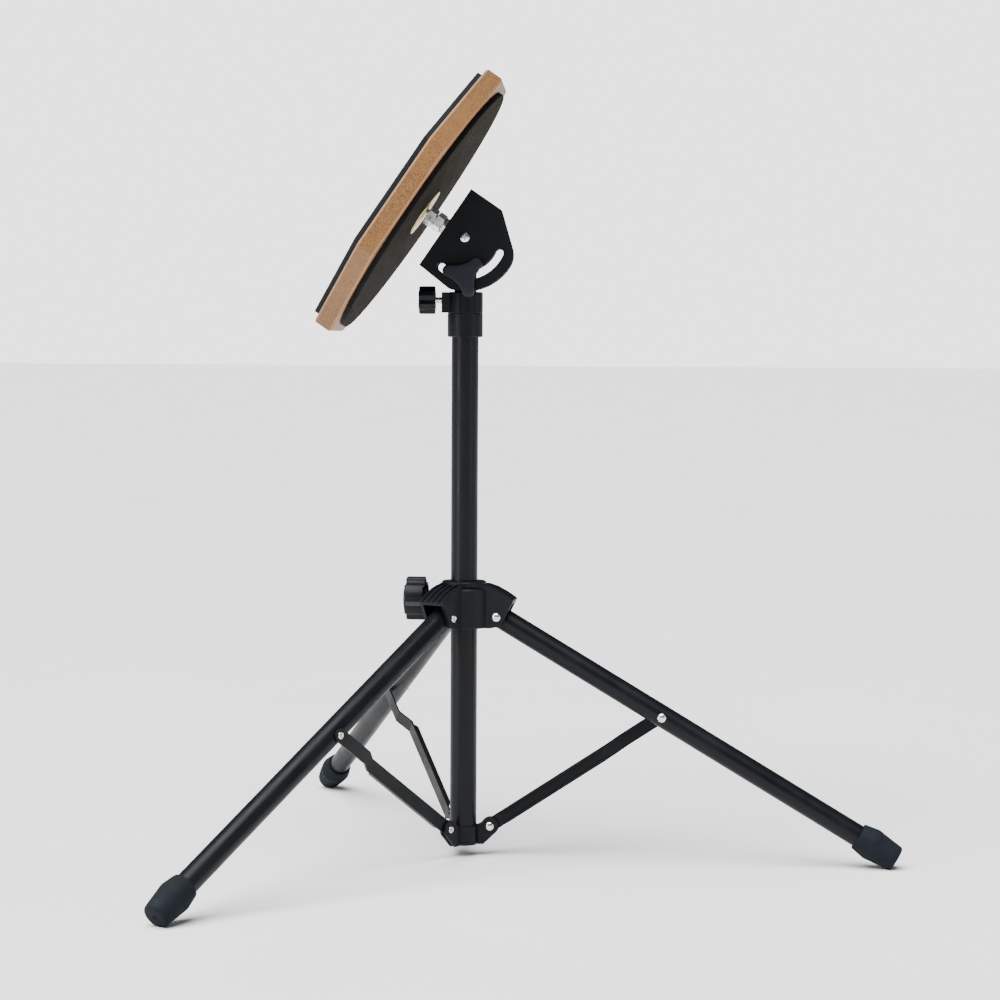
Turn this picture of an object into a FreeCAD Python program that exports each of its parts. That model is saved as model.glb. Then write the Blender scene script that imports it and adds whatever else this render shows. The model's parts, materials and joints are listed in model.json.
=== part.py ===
import FreeCAD, Part
import Sketcher
import math
import os
import re

# Octagonal drum practice pad on a folding tripod stand, in millimetres.
#
# Frame: +Z up. The origin is on the floor, on the axis of the centre column.
# The tilt axis of the head runs along Y; the pad is on the -X side of the column.
#
# The upper column (post) slides and turns in the column tube and is held by the
# collar clamp. The hub slides on the column tube and carries three legs; a strut
# ties each leg to the bracket at the foot of the column, so that sliding the hub
# up folds the legs.

DRIVING_SIZES = {
    # centre column, post and their clamp
    "column_radius": 12.7,
    "column_wall": 1.2,
    "column_bottom": 12.5,
    "column_top": 516.5,
    "post_radius": 10.5,
    "post_wall": 1.4,
    "post_bottom": 200.0,
    "bush_length": 34.0,
    "collar_bottom": 495.0,
    "collar_top": 537.6,
    "collar_radius": 16.65,
    "collar_boss_reach": 22.0,
    "collar_boss_bottom": 518.0,
    "collar_boss_half": 8.0,
    "collar_screw_height": 529.8,
    "collar_screw_radius": 3.0,
    "collar_nut_across": 9.9,
    "collar_nut_inner": 14.0,
    "collar_nut_outer": 19.0,
    "collar_knob_radius": 13.2,
    "collar_knob_inner": 28.4,
    "collar_knob_outer": 43.8,
    # clearances
    "running": 0.05,
    "gap": 0.3,
    # tripod
    "leg_radius": 10.5,
    "leg_wall": 1.2,
    "leg_length": 438.0,
    "leg_angle": 30.4,
    "leg_inner": 9.0,
    "leg_turn": -6.1,
    "strut_station": 182.5,
    "hub_pivot_radius": 33.0,
    "hub_pivot_height": 230.6,
    "base_pivot_radius": 25.6,
    "base_pivot_height": 28.5,
    "base_bottom": 11.0,
    "ear_radius": 8.5,
    "ear_left": 3.9,
    "ear_right": 1.5,
    "ear_wall": 2.2,
    "strut_half_width": 6.5,
    "strut_wall": 1.6,
    "strut_flange": 3.4,
    "strut_low_side": 1.9,
    "joggle_start": 60.0,
    "joggle_end": 44.0,
    "strut_high_side": 10.9,
    "rivet_radius": 2.5,
    "rivet_head_radius": 4.4,
    "rivet_head_height": 2.7,
    "eyelet_radius": 3.4,
    "eyelet_height": 0.9,
    "eyelet_hole": 1.5,
    # hub
    "hub_sleeve_radius": 18.0,
    "hub_ring_radius": 21.2,
    "hub_top": 33.0,
    "hub_low": 10.7,
    "hub_half_width": 14.5,
    "hub_slot_half": 11.2,
    "hub_hood_wall": 3.4,
    "hub_screw_height": 15.5,
    "hub_screw_radius": 3.5,
    "hub_nut_across": 11.0,
    "hub_boss_reach": 28.5,
    "hub_core_radius": 27.0,
    "hub_knob_radius": 20.7,
    "hub_knob_inner": 37.0,
    "hub_knob_outer": 55.2,
    # feet
    "foot_length": 41.5,
    "foot_lip_radius": 12.95,
    "foot_belly_radius": 15.3,
    "foot_end_radius": 12.0,
    "foot_end_wall": 7.5,
    # tilting head
    "pivot_height": 588.4,
    "post_top_over_pivot": 11.0,
    "tilt": 55.6,
    "clamp_drop": 35.5,
    "plate_gap_half": 10.8,
    "plate_wall": 2.5,
    "plate_swing_radius": 50.2,
    "plate_corner_radius": 22.0,
    "web_face": 21.0,
    "slot_radius": 35.5,
    "slot_half_width": 3.95,
    "slot_from": 169.7,
    "slot_to": 274.8,
    "bolt_radius": 3.0,
    "clamp_bolt_reach": 9.4,
    "bolt_head_radius": 4.85,
    "pivot_nut_across": 10.0,
    "wing_lobe_length": 15.5,
    "wing_tip_radius": 5.6,
    "wing_middle_radius": 10.0,
    "wing_root_half": 8.2,
    "wing_tip_half": 5.4,
    "wing_face_low": 3.4,
    "wing_face_high": 11.4,
    "wing_insert_radius": 4.5,
    "stud_radius": 5.0,
    "stud_nut_across": 16.0,
    "stud_nut_thickness": 8.0,
    "stud_nut_gap": 0.8,
    "stud_offset": -2.0,
    # pad
    "board_back": 50.6,
    "board_thickness": 18.0,
    "board_flat_radius": 140.8,
    "board_chamfer": 1.8,
    "face_inset": 7.5,
    "face_thickness": 5.3,
    "back_radius": 132.0,
    "back_thickness": 5.0,
    "flange_radius": 24.0,
    "flange_thickness": 1.2,
    "insert_radius": 6.5,
    "insert_depth": 14.0,
}

doc = FreeCAD.newDocument("practice_pad")
dims = doc.addObject("Spreadsheet::Sheet", "dims")
for row, (alias, size) in enumerate(DRIVING_SIZES.items(), start=1):
    dims.set("A%d" % row, alias)
    dims.set("B%d" % row, str(size))
    dims.setAlias("B%d" % row, alias)
doc.recompute()

WORD = re.compile(r"\b([a-z]+_[a-z_]+|running|gap|tilt)\b")
X_AXIS = FreeCAD.Vector(1, 0, 0)
Y_AXIS = FreeCAD.Vector(0, 1, 0)
Z_AXIS = FreeCAD.Vector(0, 0, 1)
ORIGIN = FreeCAD.Vector(0, 0, 0)
NO_TURN = FreeCAD.Rotation()
HOME = FreeCAD.Placement()
TO_MINUS_Y = FreeCAD.Rotation(X_AXIS, 90)
TO_PLUS_Y = FreeCAD.Rotation(X_AXIS, -90)
TO_PLUS_X = FreeCAD.Rotation(Y_AXIS, 90)
TO_MINUS_X = FreeCAD.Rotation(Y_AXIS, -90)
WING_TURN = -76
LEG_AZIMUTHS = {key: DRIVING_SIZES["leg_turn"] + turn for key, turn in (("a", -120), ("b", 0), ("c", 120))}

# Outer faces of a bracket's ears, measured to the left from the leg's middle plane.
EAR_LEFT_FACE = "(ear_left + ear_wall)"
EAR_RIGHT_FACE = "(ear_right - ear_wall)"

# The strut runs from the bracket pivot to the leg's rivet station.
STRUT_RUN = "(hub_pivot_radius + strut_station * cos(leg_angle) - base_pivot_radius)"
STRUT_RISE = "(hub_pivot_height - strut_station * sin(leg_angle) - base_pivot_height)"
STRUT_LENGTH = "sqrt(%s ^ 2 + %s ^ 2)" % (STRUT_RUN, STRUT_RISE)
STRUT_ANGLE = "atan2(%s; %s)" % (STRUT_RISE, STRUT_RUN)

HEAD = FreeCAD.Placement(
    FreeCAD.Vector(0, 0, DRIVING_SIZES["pivot_height"]),
    FreeCAD.Rotation(Y_AXIS, 90 - DRIVING_SIZES["tilt"]).multiply(FreeCAD.Rotation(Z_AXIS, 180)),
)
subparts = []


# ---------------------------------------------------------------- toolkit
def formula(text):
    """Turn a formula in sheet words into an expression on the sheet."""
    return WORD.sub(r"dims.\1", str(text))


def size(text):
    """Number that a formula in sheet words stands for."""
    return float(dims.evalExpression(str(text)))


def bind(thing, **formulas):
    """Bind properties of an object to formulas in sheet words."""
    for prop, text in formulas.items():
        thing.setExpression(prop, formula(text))


def frame_at(x=0, y=0, z=0, turn=NO_TURN):
    """Placement at formulas in sheet words."""
    return FreeCAD.Placement(FreeCAD.Vector(size(x), size(y), size(z)), turn)


def name_piece(thing, node):
    """Give a finished sub-part the label that names its file."""
    thing.Label = node
    subparts.append(thing)
    return thing


def sketch_on(body, name, role, points, lift="0"):
    """Closed polygon on one of a body's own origin planes, every corner bound to the sheet."""
    sketch = body.newObject("Sketcher::SketchObject", name)
    plane = next(item for item in body.Origin.OriginFeatures if item.Role == role)
    sketch.AttachmentSupport = [(plane, "")]
    sketch.MapMode = "FlatFace"
    sketch.setExpression("AttachmentOffset.Base.z", formula(lift))
    corners = [(size(x), size(y)) for x, y in points]
    count = len(points)
    for index in range(count):
        start = FreeCAD.Vector(*corners[index], 0)
        end = FreeCAD.Vector(*corners[(index + 1) % count], 0)
        sketch.addGeometry(Part.LineSegment(start, end))
    for index in range(count):
        sketch.addConstraint(Sketcher.Constraint("Coincident", index, 2, (index + 1) % count, 1))
    for index, point in enumerate(points):
        for axis, letter in enumerate("XY"):
            place = Sketcher.Constraint("Distance" + letter, -1, 1, index, 1, corners[index][axis])
            label = "%s%d" % (letter, index)
            sketch.renameConstraint(sketch.addConstraint(place), label)
            sketch.setExpression("Constraints." + label, formula(point[axis]))
    return sketch


def prism(name, points, low, high, frame=HOME):
    """Body padded from a polygon in its local XY plane, from local z low to high."""
    body = doc.addObject("PartDesign::Body", name)
    sketch = sketch_on(body, name + "_outline", "XY_Plane", points, low)
    pad = body.newObject("PartDesign::Pad", name + "_pad")
    pad.Profile = sketch
    bind(pad, Length="(%s) - (%s)" % (high, low))
    body.Tip = pad
    body.Placement = frame
    return body


def turned(name, profile, frame=HOME):
    """Body turned about its local Z axis from (radius, z) corners."""
    body = doc.addObject("PartDesign::Body", name)
    sketch = sketch_on(body, name + "_profile", "XZ_Plane", profile)
    spin = body.newObject("PartDesign::Revolution", name + "_turn")
    spin.Profile = sketch
    spin.ReferenceAxis = (sketch, ["V_Axis"])
    spin.Angle = 360
    body.Tip = spin
    body.Placement = frame
    return body


def tube(name, outer, inner, low, high, frame=HOME):
    """Turned tube from local z low to high."""
    return turned(name, [(inner, low), (outer, low), (outer, high), (inner, high)], frame)


def rod(name, radius, low, high, frame=HOME):
    """Round bar from local z low to high."""
    bar = doc.addObject("Part::Cylinder", name)
    bind(bar, Radius=radius, Height="(%s) - (%s)" % (high, low))
    bar.Placement = frame.multiply(frame_at(z=low))
    return bar


def block(name, x_range, y_range, z_range, frame=HOME):
    """Rectangular block between pairs of formulas."""
    box = doc.addObject("Part::Box", name)
    spans = ["(%s) - (%s)" % (high, low) for low, high in (x_range, y_range, z_range)]
    bind(box, Length=spans[0], Width=spans[1], Height=spans[2])
    box.Placement = frame.multiply(frame_at(x_range[0], y_range[0], z_range[0]))
    return box


def hex_bar(name, across_flats, low, high, frame=HOME):
    """Hexagonal bar from local z low to high."""
    bar = doc.addObject("Part::Prism", name)
    bar.Polygon = 6
    bind(bar, Circumradius="%s / sqrt(3)" % across_flats, Height="(%s) - (%s)" % (high, low))
    bar.Placement = frame.multiply(frame_at(z=low))
    return bar


def cut(name, base, *tools):
    """Base with each tool taken away."""
    result = base
    for index, tool in enumerate(tools):
        step = doc.addObject("Part::Cut", "%s_cut_%d" % (name, index))
        step.Base = result
        step.Tool = tool
        result = step
    return result


def fuse(name, *things):
    """One solid from several."""
    union = doc.addObject("Part::MultiFuse", name)
    union.Shapes = list(things)
    union.Refine = True
    return union


def common(name, first, second):
    """The space that two solids share."""
    shared = doc.addObject("Part::Common", name)
    shared.Base = first
    shared.Tool = second
    return shared


def compound(name, things):
    """Identical fasteners kept together as separate solids."""
    group = doc.addObject("Part::Compound", name)
    group.Links = list(things)
    return group


# ---------------------------------------------------------------- frames
def leg_plane(key):
    """Frame of one leg: X outward, Y to the left, Z up."""
    return FreeCAD.Placement(ORIGIN, FreeCAD.Rotation(Z_AXIS, LEG_AZIMUTHS[key]))


def leg_section(key):
    """Frame for outlines drawn in a leg's upright plane: X outward, Y up."""
    return leg_plane(key).multiply(frame_at(turn=TO_MINUS_Y))


def leg_cross(key, x, z):
    """Frame of a pin across a leg's plane, local Z pointing left."""
    return leg_plane(key).multiply(frame_at(x, 0, z, TO_PLUS_Y))


def leg_line(key):
    """Frame of a leg tube: origin at the hub pivot, local Z along the leg."""
    slope = FreeCAD.Rotation(Y_AXIS, 90 + size("leg_angle"))
    return leg_plane(key).multiply(frame_at("hub_pivot_radius", 0, "hub_pivot_height", slope))


def strut_line(key):
    """Frame of a strut: origin at its bracket pivot, X along it, Y to the left."""
    slope = FreeCAD.Rotation(Y_AXIS, -size(STRUT_ANGLE))
    return leg_plane(key).multiply(frame_at("base_pivot_radius", 0, "base_pivot_height", slope))


def knob_line(height):
    """Frame of the hub's clamp screw, local Z pointing away from the column."""
    opposite = FreeCAD.Rotation(Z_AXIS, size("leg_turn") + 180)
    return frame_at(0, 0, height, opposite.multiply(TO_PLUS_X))


# ---------------------------------------------------------------- shared shapes
def rivet(name, reach_head, reach_eyelet, frame):
    """Rivet along local Z: domed head at the low end, rolled hollow end at the high end."""
    return turned(name, [
        ("0", "%s - rivet_head_height" % reach_head),
        ("rivet_head_radius * 0.5", "%s - rivet_head_height * 0.92" % reach_head),
        ("rivet_head_radius * 0.85", "%s - rivet_head_height * 0.6" % reach_head),
        ("rivet_head_radius", "%s - rivet_head_height * 0.15" % reach_head),
        ("rivet_head_radius", reach_head),
        ("rivet_radius", reach_head),
        ("rivet_radius", reach_eyelet),
        ("eyelet_radius", reach_eyelet),
        ("eyelet_radius", "%s + eyelet_height * 0.5" % reach_eyelet),
        ("eyelet_radius * 0.8", "%s + eyelet_height" % reach_eyelet),
        ("eyelet_hole", "%s + eyelet_height" % reach_eyelet),
        ("eyelet_hole", "%s - 4" % reach_eyelet),
        ("0", "%s - 4" % reach_eyelet),
    ], frame)


def lobed_knob(name, radius, low, high, lobes, dent_radius, rim, web, bore, frame):
    """Grip knob along local Z: dented rim, eased edges, hollow towards its low end."""
    blank = turned(name + "_blank", [
        (bore, low),
        ("%s - 1.0" % radius, low),
        (radius, "%s + 1.0" % low),
        (radius, "%s - 1.6" % high),
        ("%s - 1.6" % radius, high),
        (bore, high),
    ], frame)
    tools = [tube(name + "_hollow", "%s - %s" % (radius, rim), "%s * 0.42" % radius,
                  "%s - 1" % low, "%s - %s" % (high, web), frame)]
    reach = size("%s + %s * 0.3" % (radius, dent_radius))
    for index in range(lobes):
        angle = 2 * math.pi * (index + 0.5) / lobes
        spot = frame_at(reach * math.cos(angle), reach * math.sin(angle), 0)
        dent = rod("%s_dent_%d" % (name, index), dent_radius, "%s - 1" % low, "%s + 1" % high,
                   frame.multiply(spot))
        tools.append(dent)
    return cut(name, blank, *tools)


def screw(name, radius, low, high, point, frame):
    """Headless clamp screw along local Z with a bevelled point at its low end."""
    return turned(name, [
        ("0", low),
        ("%s - %s" % (radius, point), low),
        (radius, "%s + %s" % (low, point)),
        (radius, high),
        ("0", high),
    ], frame)


# ---------------------------------------------------------------- column
def make_column():
    """Column tube, its end plug, and the foot bracket with its rivets."""
    inner = "column_radius - column_wall"
    column = tube("column_body", "column_radius", inner, "column_bottom", "column_top")
    name_piece(column, "column_tube")
    plug_radius = "column_radius - column_wall - running"
    plug = turned("column_plug_body", [
        ("0", "column_bottom + 1"),
        (plug_radius, "column_bottom + 1"),
        (plug_radius, "column_bottom + 14"),
        ("column_radius - column_wall - 2", "column_bottom + 14"),
        ("column_radius - column_wall - 2", "column_bottom + 4"),
        ("0", "column_bottom + 4"),
    ])
    name_piece(plug, "column_plug")

    shell = turned("base_shell", [
        ("7", "base_bottom"),
        ("column_radius + 0.7", "base_bottom"),
        ("column_radius + 1.5", "base_bottom + 0.8"),
        ("column_radius + 1.5", "base_pivot_height + 0.8"),
        ("column_radius + running", "base_pivot_height + 0.8"),
        ("column_radius + running", "column_bottom"),
        ("7", "column_bottom"),
    ])
    ears = []
    bores = []
    pins = []
    for key in LEG_AZIMUTHS:
        # The section frame's local Z points to the right, so offsets to the left are negative here.
        for side, low, high in (("left", "-" + EAR_LEFT_FACE, "-ear_left"),
                                ("right", "-ear_right", "-" + EAR_RIGHT_FACE)):
            web = prism("ear_web_%s_%s" % (key, side), [
                ("column_radius + 0.4", "base_bottom"),
                ("base_pivot_radius - 6", "base_bottom"),
                ("base_pivot_radius + ear_radius * 0.78", "base_pivot_height - ear_radius * 0.62"),
                ("base_pivot_radius", "base_pivot_height + ear_radius * 0.9"),
                ("column_radius + 0.4", "base_pivot_height + 0.8"),
            ], low, high, leg_section(key))
            pivot = leg_section(key).multiply(frame_at("base_pivot_radius", "base_pivot_height", 0))
            ears += [web, rod("ear_disc_%s_%s" % (key, side), "ear_radius", low, high, pivot)]
        cross = leg_cross(key, "base_pivot_radius", "base_pivot_height")
        bores.append(rod("ear_bore_" + key, "rivet_radius", "-9", "9", cross))
        pins.append(rivet("bracket_rivet_" + key, EAR_RIGHT_FACE, EAR_LEFT_FACE, cross))
    bores.append(rod("base_bore", "column_radius + running", "column_bottom", "base_pivot_height + 20"))
    name_piece(cut("base", fuse("base_union", shell, *ears), *bores), "bottom_bracket")
    name_piece(compound("bracket_rivet_set", pins), "bracket_rivets")


def make_collar():
    """Clamp collar on the column's top end, with its captive nut, pressure shoe, screw and knob."""
    split = "column_top + running"
    sleeve = turned("collar_sleeve", [
        ("column_radius + running", "collar_bottom"),
        ("collar_radius - 0.8", "collar_bottom"),
        ("collar_radius", "collar_bottom + 0.8"),
        ("collar_radius", "collar_boss_bottom - 1.2"),
        ("collar_radius - 0.5", "collar_boss_bottom - 0.7"),
        ("collar_radius", "collar_boss_bottom"),
        ("collar_radius", "collar_top - 1.2"),
        ("collar_radius - 1.2", "collar_top"),
        ("post_radius + running", "collar_top"),
        ("post_radius + running", split),
        ("column_radius + running", split),
    ])
    boss = block("collar_boss", ("-collar_boss_reach", "-post_radius - 1"),
                 ("-collar_boss_half", "collar_boss_half"), ("collar_boss_bottom", "collar_top - 0.3"))
    line = frame_at(0, 0, "collar_screw_height", TO_MINUS_X)
    tools = [
        rod("collar_screw_bore", "collar_screw_radius + running", "post_radius - 3", "30", line),
        rod("collar_post_bore", "post_radius + running", split, "collar_top + 2"),
        block("collar_nut_pocket", ("-collar_nut_outer - 0.1", "-collar_nut_inner + 0.1"),
              ("-collar_nut_across / 2 - 0.1", "collar_nut_across / 2 + 0.1"),
              ("collar_screw_height - 5.9", "collar_top + 1")),
    ]
    for index, turn in enumerate((-128, -104, -80, -56, -32, 32, 56, 80, 104, 128)):
        spot = FreeCAD.Placement(ORIGIN, FreeCAD.Rotation(Z_AXIS, turn))
        groove = spot.multiply(frame_at("collar_radius + 0.35", 0, 0))
        tools.append(rod("collar_groove_%d" % index, "1.15", "collar_boss_bottom", "collar_top + 1", groove))
    name_piece(cut("collar", fuse("collar_union", sleeve, boss), *tools), "collar")

    nut = cut("collar_nut_body",
              hex_bar("collar_nut_bar", "collar_nut_across", "collar_nut_inner", "collar_nut_outer", line),
              rod("collar_nut_bore", "collar_screw_radius + running", "13", "20", line))
    name_piece(nut, "collar_nut")
    shoe = rod("collar_shoe_body", "collar_screw_radius - 0.1", "post_radius + 0.1", "post_radius + 2.2",
               line)
    name_piece(shoe, "collar_shoe")
    thread = screw("collar_screw_body", "collar_screw_radius", "post_radius + 2.4",
                   "collar_knob_outer - 4", "0.8", line)
    name_piece(thread, "collar_screw")
    grip = lobed_knob("collar_knob_grip", "collar_knob_radius", "collar_knob_inner", "collar_knob_outer",
                      6, "3.8", "4.3", "5", "collar_screw_radius", line)
    cap = rod("collar_knob_cap", "collar_screw_radius + 2", "collar_knob_outer - 4",
              "collar_knob_outer - 0.4", line)
    name_piece(fuse("collar_knob_union", grip, cap), "collar_knob")


# ---------------------------------------------------------------- hub
def hub_level(rise):
    """Formula of a height measured from the leg pivots."""
    return "hub_pivot_height + (%s)" % rise


def make_hub():
    """Sliding hub with three hooded arms, its leg rivets, captive nut and shoe."""
    sleeve = turned("hub_sleeve", [
        ("column_radius + running", hub_level("-hub_low")),
        ("hub_sleeve_radius", hub_level("-hub_low")),
        ("hub_sleeve_radius", hub_level("hub_top - 6.5")),
        ("hub_ring_radius", hub_level("hub_top - 5")),
        ("hub_ring_radius", hub_level("hub_top - 0.9")),
        ("hub_ring_radius - 0.9", hub_level("hub_top")),
        ("column_radius + running", hub_level("hub_top")),
    ])
    core = turned("hub_core", [
        ("column_radius + 2", hub_level("-hub_low")),
        ("hub_core_radius - 1", hub_level("-hub_low")),
        ("hub_core_radius", hub_level("-hub_low + 1")),
        ("hub_core_radius", hub_level("25.4")),
        ("hub_core_radius - 1.4", hub_level("26.8")),
        ("column_radius + 2", hub_level("28.2")),
    ])
    hood = [(16.0, 29.6), (24.0, 28.6), (31.0, 26.2), (38.0, 22.6), (44.0, 18.9), (49.0, 15.3)]
    lower = [("37.7", hub_level("-8.7")), ("27", hub_level("-hub_low")), ("14", hub_level("-hub_low"))]
    arms = [sleeve, core]
    slots = []
    for key in LEG_AZIMUTHS:
        section = leg_section(key)
        outline = [("14", hub_level("29.6"))] + [(str(x), hub_level(z)) for x, z in hood] + lower
        arms.append(prism("hub_arm_" + key, outline, "-hub_half_width", "hub_half_width", section))
        raised = [(str(x), hub_level(z + 1.2)) for x, z in hood]
        raised += [(str(x), hub_level(z - 1)) for x, z in reversed(hood)]
        for index in range(5):
            middle = "(%d * 6.4)" % (index - 2)
            arms.append(prism("hub_rib_%s_%d" % (key, index), raised, middle + " - 1.45",
                              middle + " + 1.45", section))
        roof = [(str(x), hub_level("%s - hub_hood_wall" % z)) for x, z in hood[1:]]
        space = [("hub_sleeve_radius + 0.2", hub_level("-16")),
                 ("hub_sleeve_radius + 0.2", hub_level("28.8 - hub_hood_wall"))]
        space += roof + [("60", hub_level("15.3 - hub_hood_wall")), ("60", hub_level("-16"))]
        slots.append(prism("hub_slot_" + key, space, "-hub_slot_half", "hub_slot_half", section))
        cross = leg_cross(key, "hub_pivot_radius", "hub_pivot_height")
        slots.append(rod("hub_rivet_bore_" + key, "rivet_radius", "-16", "16", cross))
    line = knob_line("hub_pivot_height + hub_screw_height")
    arms.append(rod("hub_boss", "9", "14", "hub_boss_reach", line))
    slots += [
        rod("hub_bore", "column_radius + running", hub_level("-hub_low - 2"), hub_level("hub_top + 2")),
        rod("hub_screw_bore", "hub_screw_radius + running", "8", "30", line),
        hex_bar("hub_nut_pocket", "hub_nut_across + 0.1", "hub_boss_reach - 5.5", "hub_boss_reach + 1", line),
    ]
    name_piece(cut("hub", fuse("hub_union", *arms), *slots), "hub")

    pins = []
    for key in LEG_AZIMUTHS:
        cross = leg_cross(key, "hub_pivot_radius", "hub_pivot_height")
        pins.append(rivet("hub_rivet_" + key, "-hub_half_width", "hub_half_width", cross))
    name_piece(compound("hub_rivet_set", pins), "hub_rivets")
    nut = cut("hub_nut_body",
              hex_bar("hub_nut_bar", "hub_nut_across", "hub_boss_reach - 5.4", "hub_boss_reach", line),
              rod("hub_nut_bore", "hub_screw_radius + running", "18", "30", line))
    name_piece(nut, "hub_nut")
    shoe = rod("hub_shoe_body", "hub_screw_radius - 0.1", "column_radius + 0.1", "column_radius + 2.4",
               line)
    name_piece(shoe, "hub_shoe")
    thread = screw("hub_screw_body", "hub_screw_radius", "column_radius + 2.6", "hub_knob_outer - 4",
                   "0.9", line)
    name_piece(thread, "hub_screw")
    grip = lobed_knob("hub_knob_grip", "hub_knob_radius", "hub_knob_inner", "hub_knob_outer",
                      6, "6", "6.2", "5", "hub_screw_radius", line)
    name_piece(grip, "hub_knob")
    cap = turned("hub_knob_cap_body", [
        ("0", "hub_knob_outer - 4"),
        ("hub_screw_radius - 0.05", "hub_knob_outer - 4"),
        ("hub_screw_radius - 0.05", "hub_knob_outer"),
        ("12", "hub_knob_outer"),
        ("12", "hub_knob_outer + 0.8"),
        ("10.8", "hub_knob_outer + 1.8"),
        ("0", "hub_knob_outer + 1.8"),
    ], line)
    name_piece(cap, "hub_knob_cap")


# ---------------------------------------------------------------- legs and struts
def make_leg(key):
    """Leg tube with its inner plug, rubber foot and strut rivet."""
    line = leg_line(key)
    across = line.multiply(frame_at(turn=TO_PLUS_Y))
    at_strut = line.multiply(frame_at(0, 0, "strut_station", TO_PLUS_Y))
    pipe = tube("leg_pipe_" + key, "leg_radius", "leg_radius - leg_wall", "-leg_inner + 1.2",
                "leg_length - foot_end_wall", line)
    leg = cut("leg_tube_%s_body" % key, pipe,
              rod("leg_pivot_bore_" + key, "rivet_radius + running", "-20", "20", across),
              rod("leg_rivet_bore_" + key, "rivet_radius", "-20", "20", at_strut))
    name_piece(leg, "leg_tube_" + key)
    plug_radius = "leg_radius - leg_wall - running"
    plug = turned("leg_plug_body_" + key, [
        ("0", "-leg_inner"),
        ("leg_radius - 1", "-leg_inner"),
        ("leg_radius", "-leg_inner + 0.6"),
        ("leg_radius", "-leg_inner + 1.2"),
        (plug_radius, "-leg_inner + 1.2"),
        (plug_radius, "-leg_inner + 5.2"),
        ("0", "-leg_inner + 5.2"),
    ], line)
    name_piece(plug, "leg_plug_" + key)

    start = "leg_length - foot_length"
    foot = turned("foot_body_" + key, [
        ("leg_radius + running", start),
        ("foot_lip_radius - 0.8", start),
        ("foot_lip_radius", start + " + 0.8"),
        ("foot_belly_radius - 0.2", start + " + 12.5"),
        ("foot_belly_radius", start + " + 14"),
        ("foot_belly_radius - 0.25", start + " + 15.5"),
        ("foot_end_radius + 0.35", "leg_length - 2.6"),
        ("foot_end_radius - 0.45", "leg_length - 0.8"),
        ("foot_end_radius - 2.4", "leg_length"),
        ("2", "leg_length"),
        ("1.4", "leg_length - 1"),
        ("0", "leg_length - 1"),
        ("0", "leg_length - foot_end_wall"),
        ("leg_radius + running", "leg_length - foot_end_wall"),
    ], line)
    floor = block("floor_" + key, ("-600", "600"), ("-600", "600"), ("-40", "0"))
    name_piece(cut("foot_cut_" + key, foot, floor), "foot_" + key)

    pin = turned("leg_rivet_body_" + key, [
        ("0", "-leg_radius - rivet_head_height - 0.2"),
        ("rivet_head_radius * 0.5", "-leg_radius - rivet_head_height * 0.92 - 0.2"),
        ("rivet_head_radius * 0.85", "-leg_radius - rivet_head_height * 0.6 - 0.2"),
        ("rivet_head_radius", "-leg_radius - rivet_head_height * 0.15 - 0.2"),
        ("rivet_head_radius", "-leg_radius - 0.05"),
        ("rivet_radius", "-leg_radius - 0.05"),
        ("rivet_radius", "leg_radius"),
        ("0", "leg_radius"),
    ], at_strut)
    name_piece(pin, "leg_rivet_" + key)


def make_strut(key):
    """Stamped strut: a shallow channel, a joggle to the leg's side and two flat round ends."""
    line = strut_line(key)
    low = "strut_low_side"
    high = "strut_high_side"
    bend_low = "(%s - joggle_start)" % STRUT_LENGTH
    bend_high = "(%s - joggle_end)" % STRUT_LENGTH
    web = prism("strut_web_" + key, [
        ("0", low),
        (bend_low, low),
        (bend_high, high),
        (STRUT_LENGTH, high),
        (STRUT_LENGTH, high + " + strut_wall"),
        (bend_high + " - 0.9", high + " + strut_wall"),
        (bend_low + " - 0.9", low + " + strut_wall"),
        ("0", low + " + strut_wall"),
    ], "-strut_half_width", "strut_half_width", line)
    face = low + " + 0.3"
    near = "(ear_radius + 5)"
    far = "(%s - 4)" % bend_low
    flanges = prism("strut_flange_" + key, [
        (near, face),
        (near + " + 5", low + " - strut_flange"),
        (far + " - 5", low + " - strut_flange"),
        (far, face),
    ], "-strut_half_width", "strut_half_width", line)
    hollow = prism("strut_hollow_" + key, [
        (near + " - 3", low),
        (near + " - 3", low + " - strut_flange - 1"),
        (far + " + 3", low + " - strut_flange - 1"),
        (far + " + 3", low),
    ], "-strut_half_width + strut_wall", "strut_half_width - strut_wall", line)
    lower = line.multiply(frame_at(turn=TO_PLUS_Y))
    upper = line.multiply(frame_at(STRUT_LENGTH, 0, 0, TO_PLUS_Y))
    union = fuse("strut_union_" + key, web, cut("strut_channel_" + key, flanges, hollow),
                 rod("strut_low_end_" + key, "strut_half_width", low, low + " + strut_wall", lower),
                 rod("strut_high_end_" + key, "strut_half_width", high, high + " + strut_wall", upper))
    strut = cut("strut_body_" + key, union,
                rod("strut_low_bore_" + key, "rivet_radius + running", "-8", "8", lower),
                rod("strut_high_bore_" + key, "rivet_radius", "8", "16", upper))
    name_piece(strut, "strut_" + key)
    face = high + " + strut_wall"
    eyelet = turned("strut_eyelet_body_" + key, [
        ("0", high),
        ("rivet_radius", high),
        ("rivet_radius", face),
        ("eyelet_radius", face),
        ("eyelet_radius", face + " + eyelet_height * 0.5"),
        ("eyelet_radius * 0.8", face + " + eyelet_height"),
        ("eyelet_hole", face + " + eyelet_height"),
        ("eyelet_hole", high + " + 0.6"),
        ("0", high + " + 0.6"),
    ], upper)
    name_piece(eyelet, "strut_eyelet_" + key)


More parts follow.
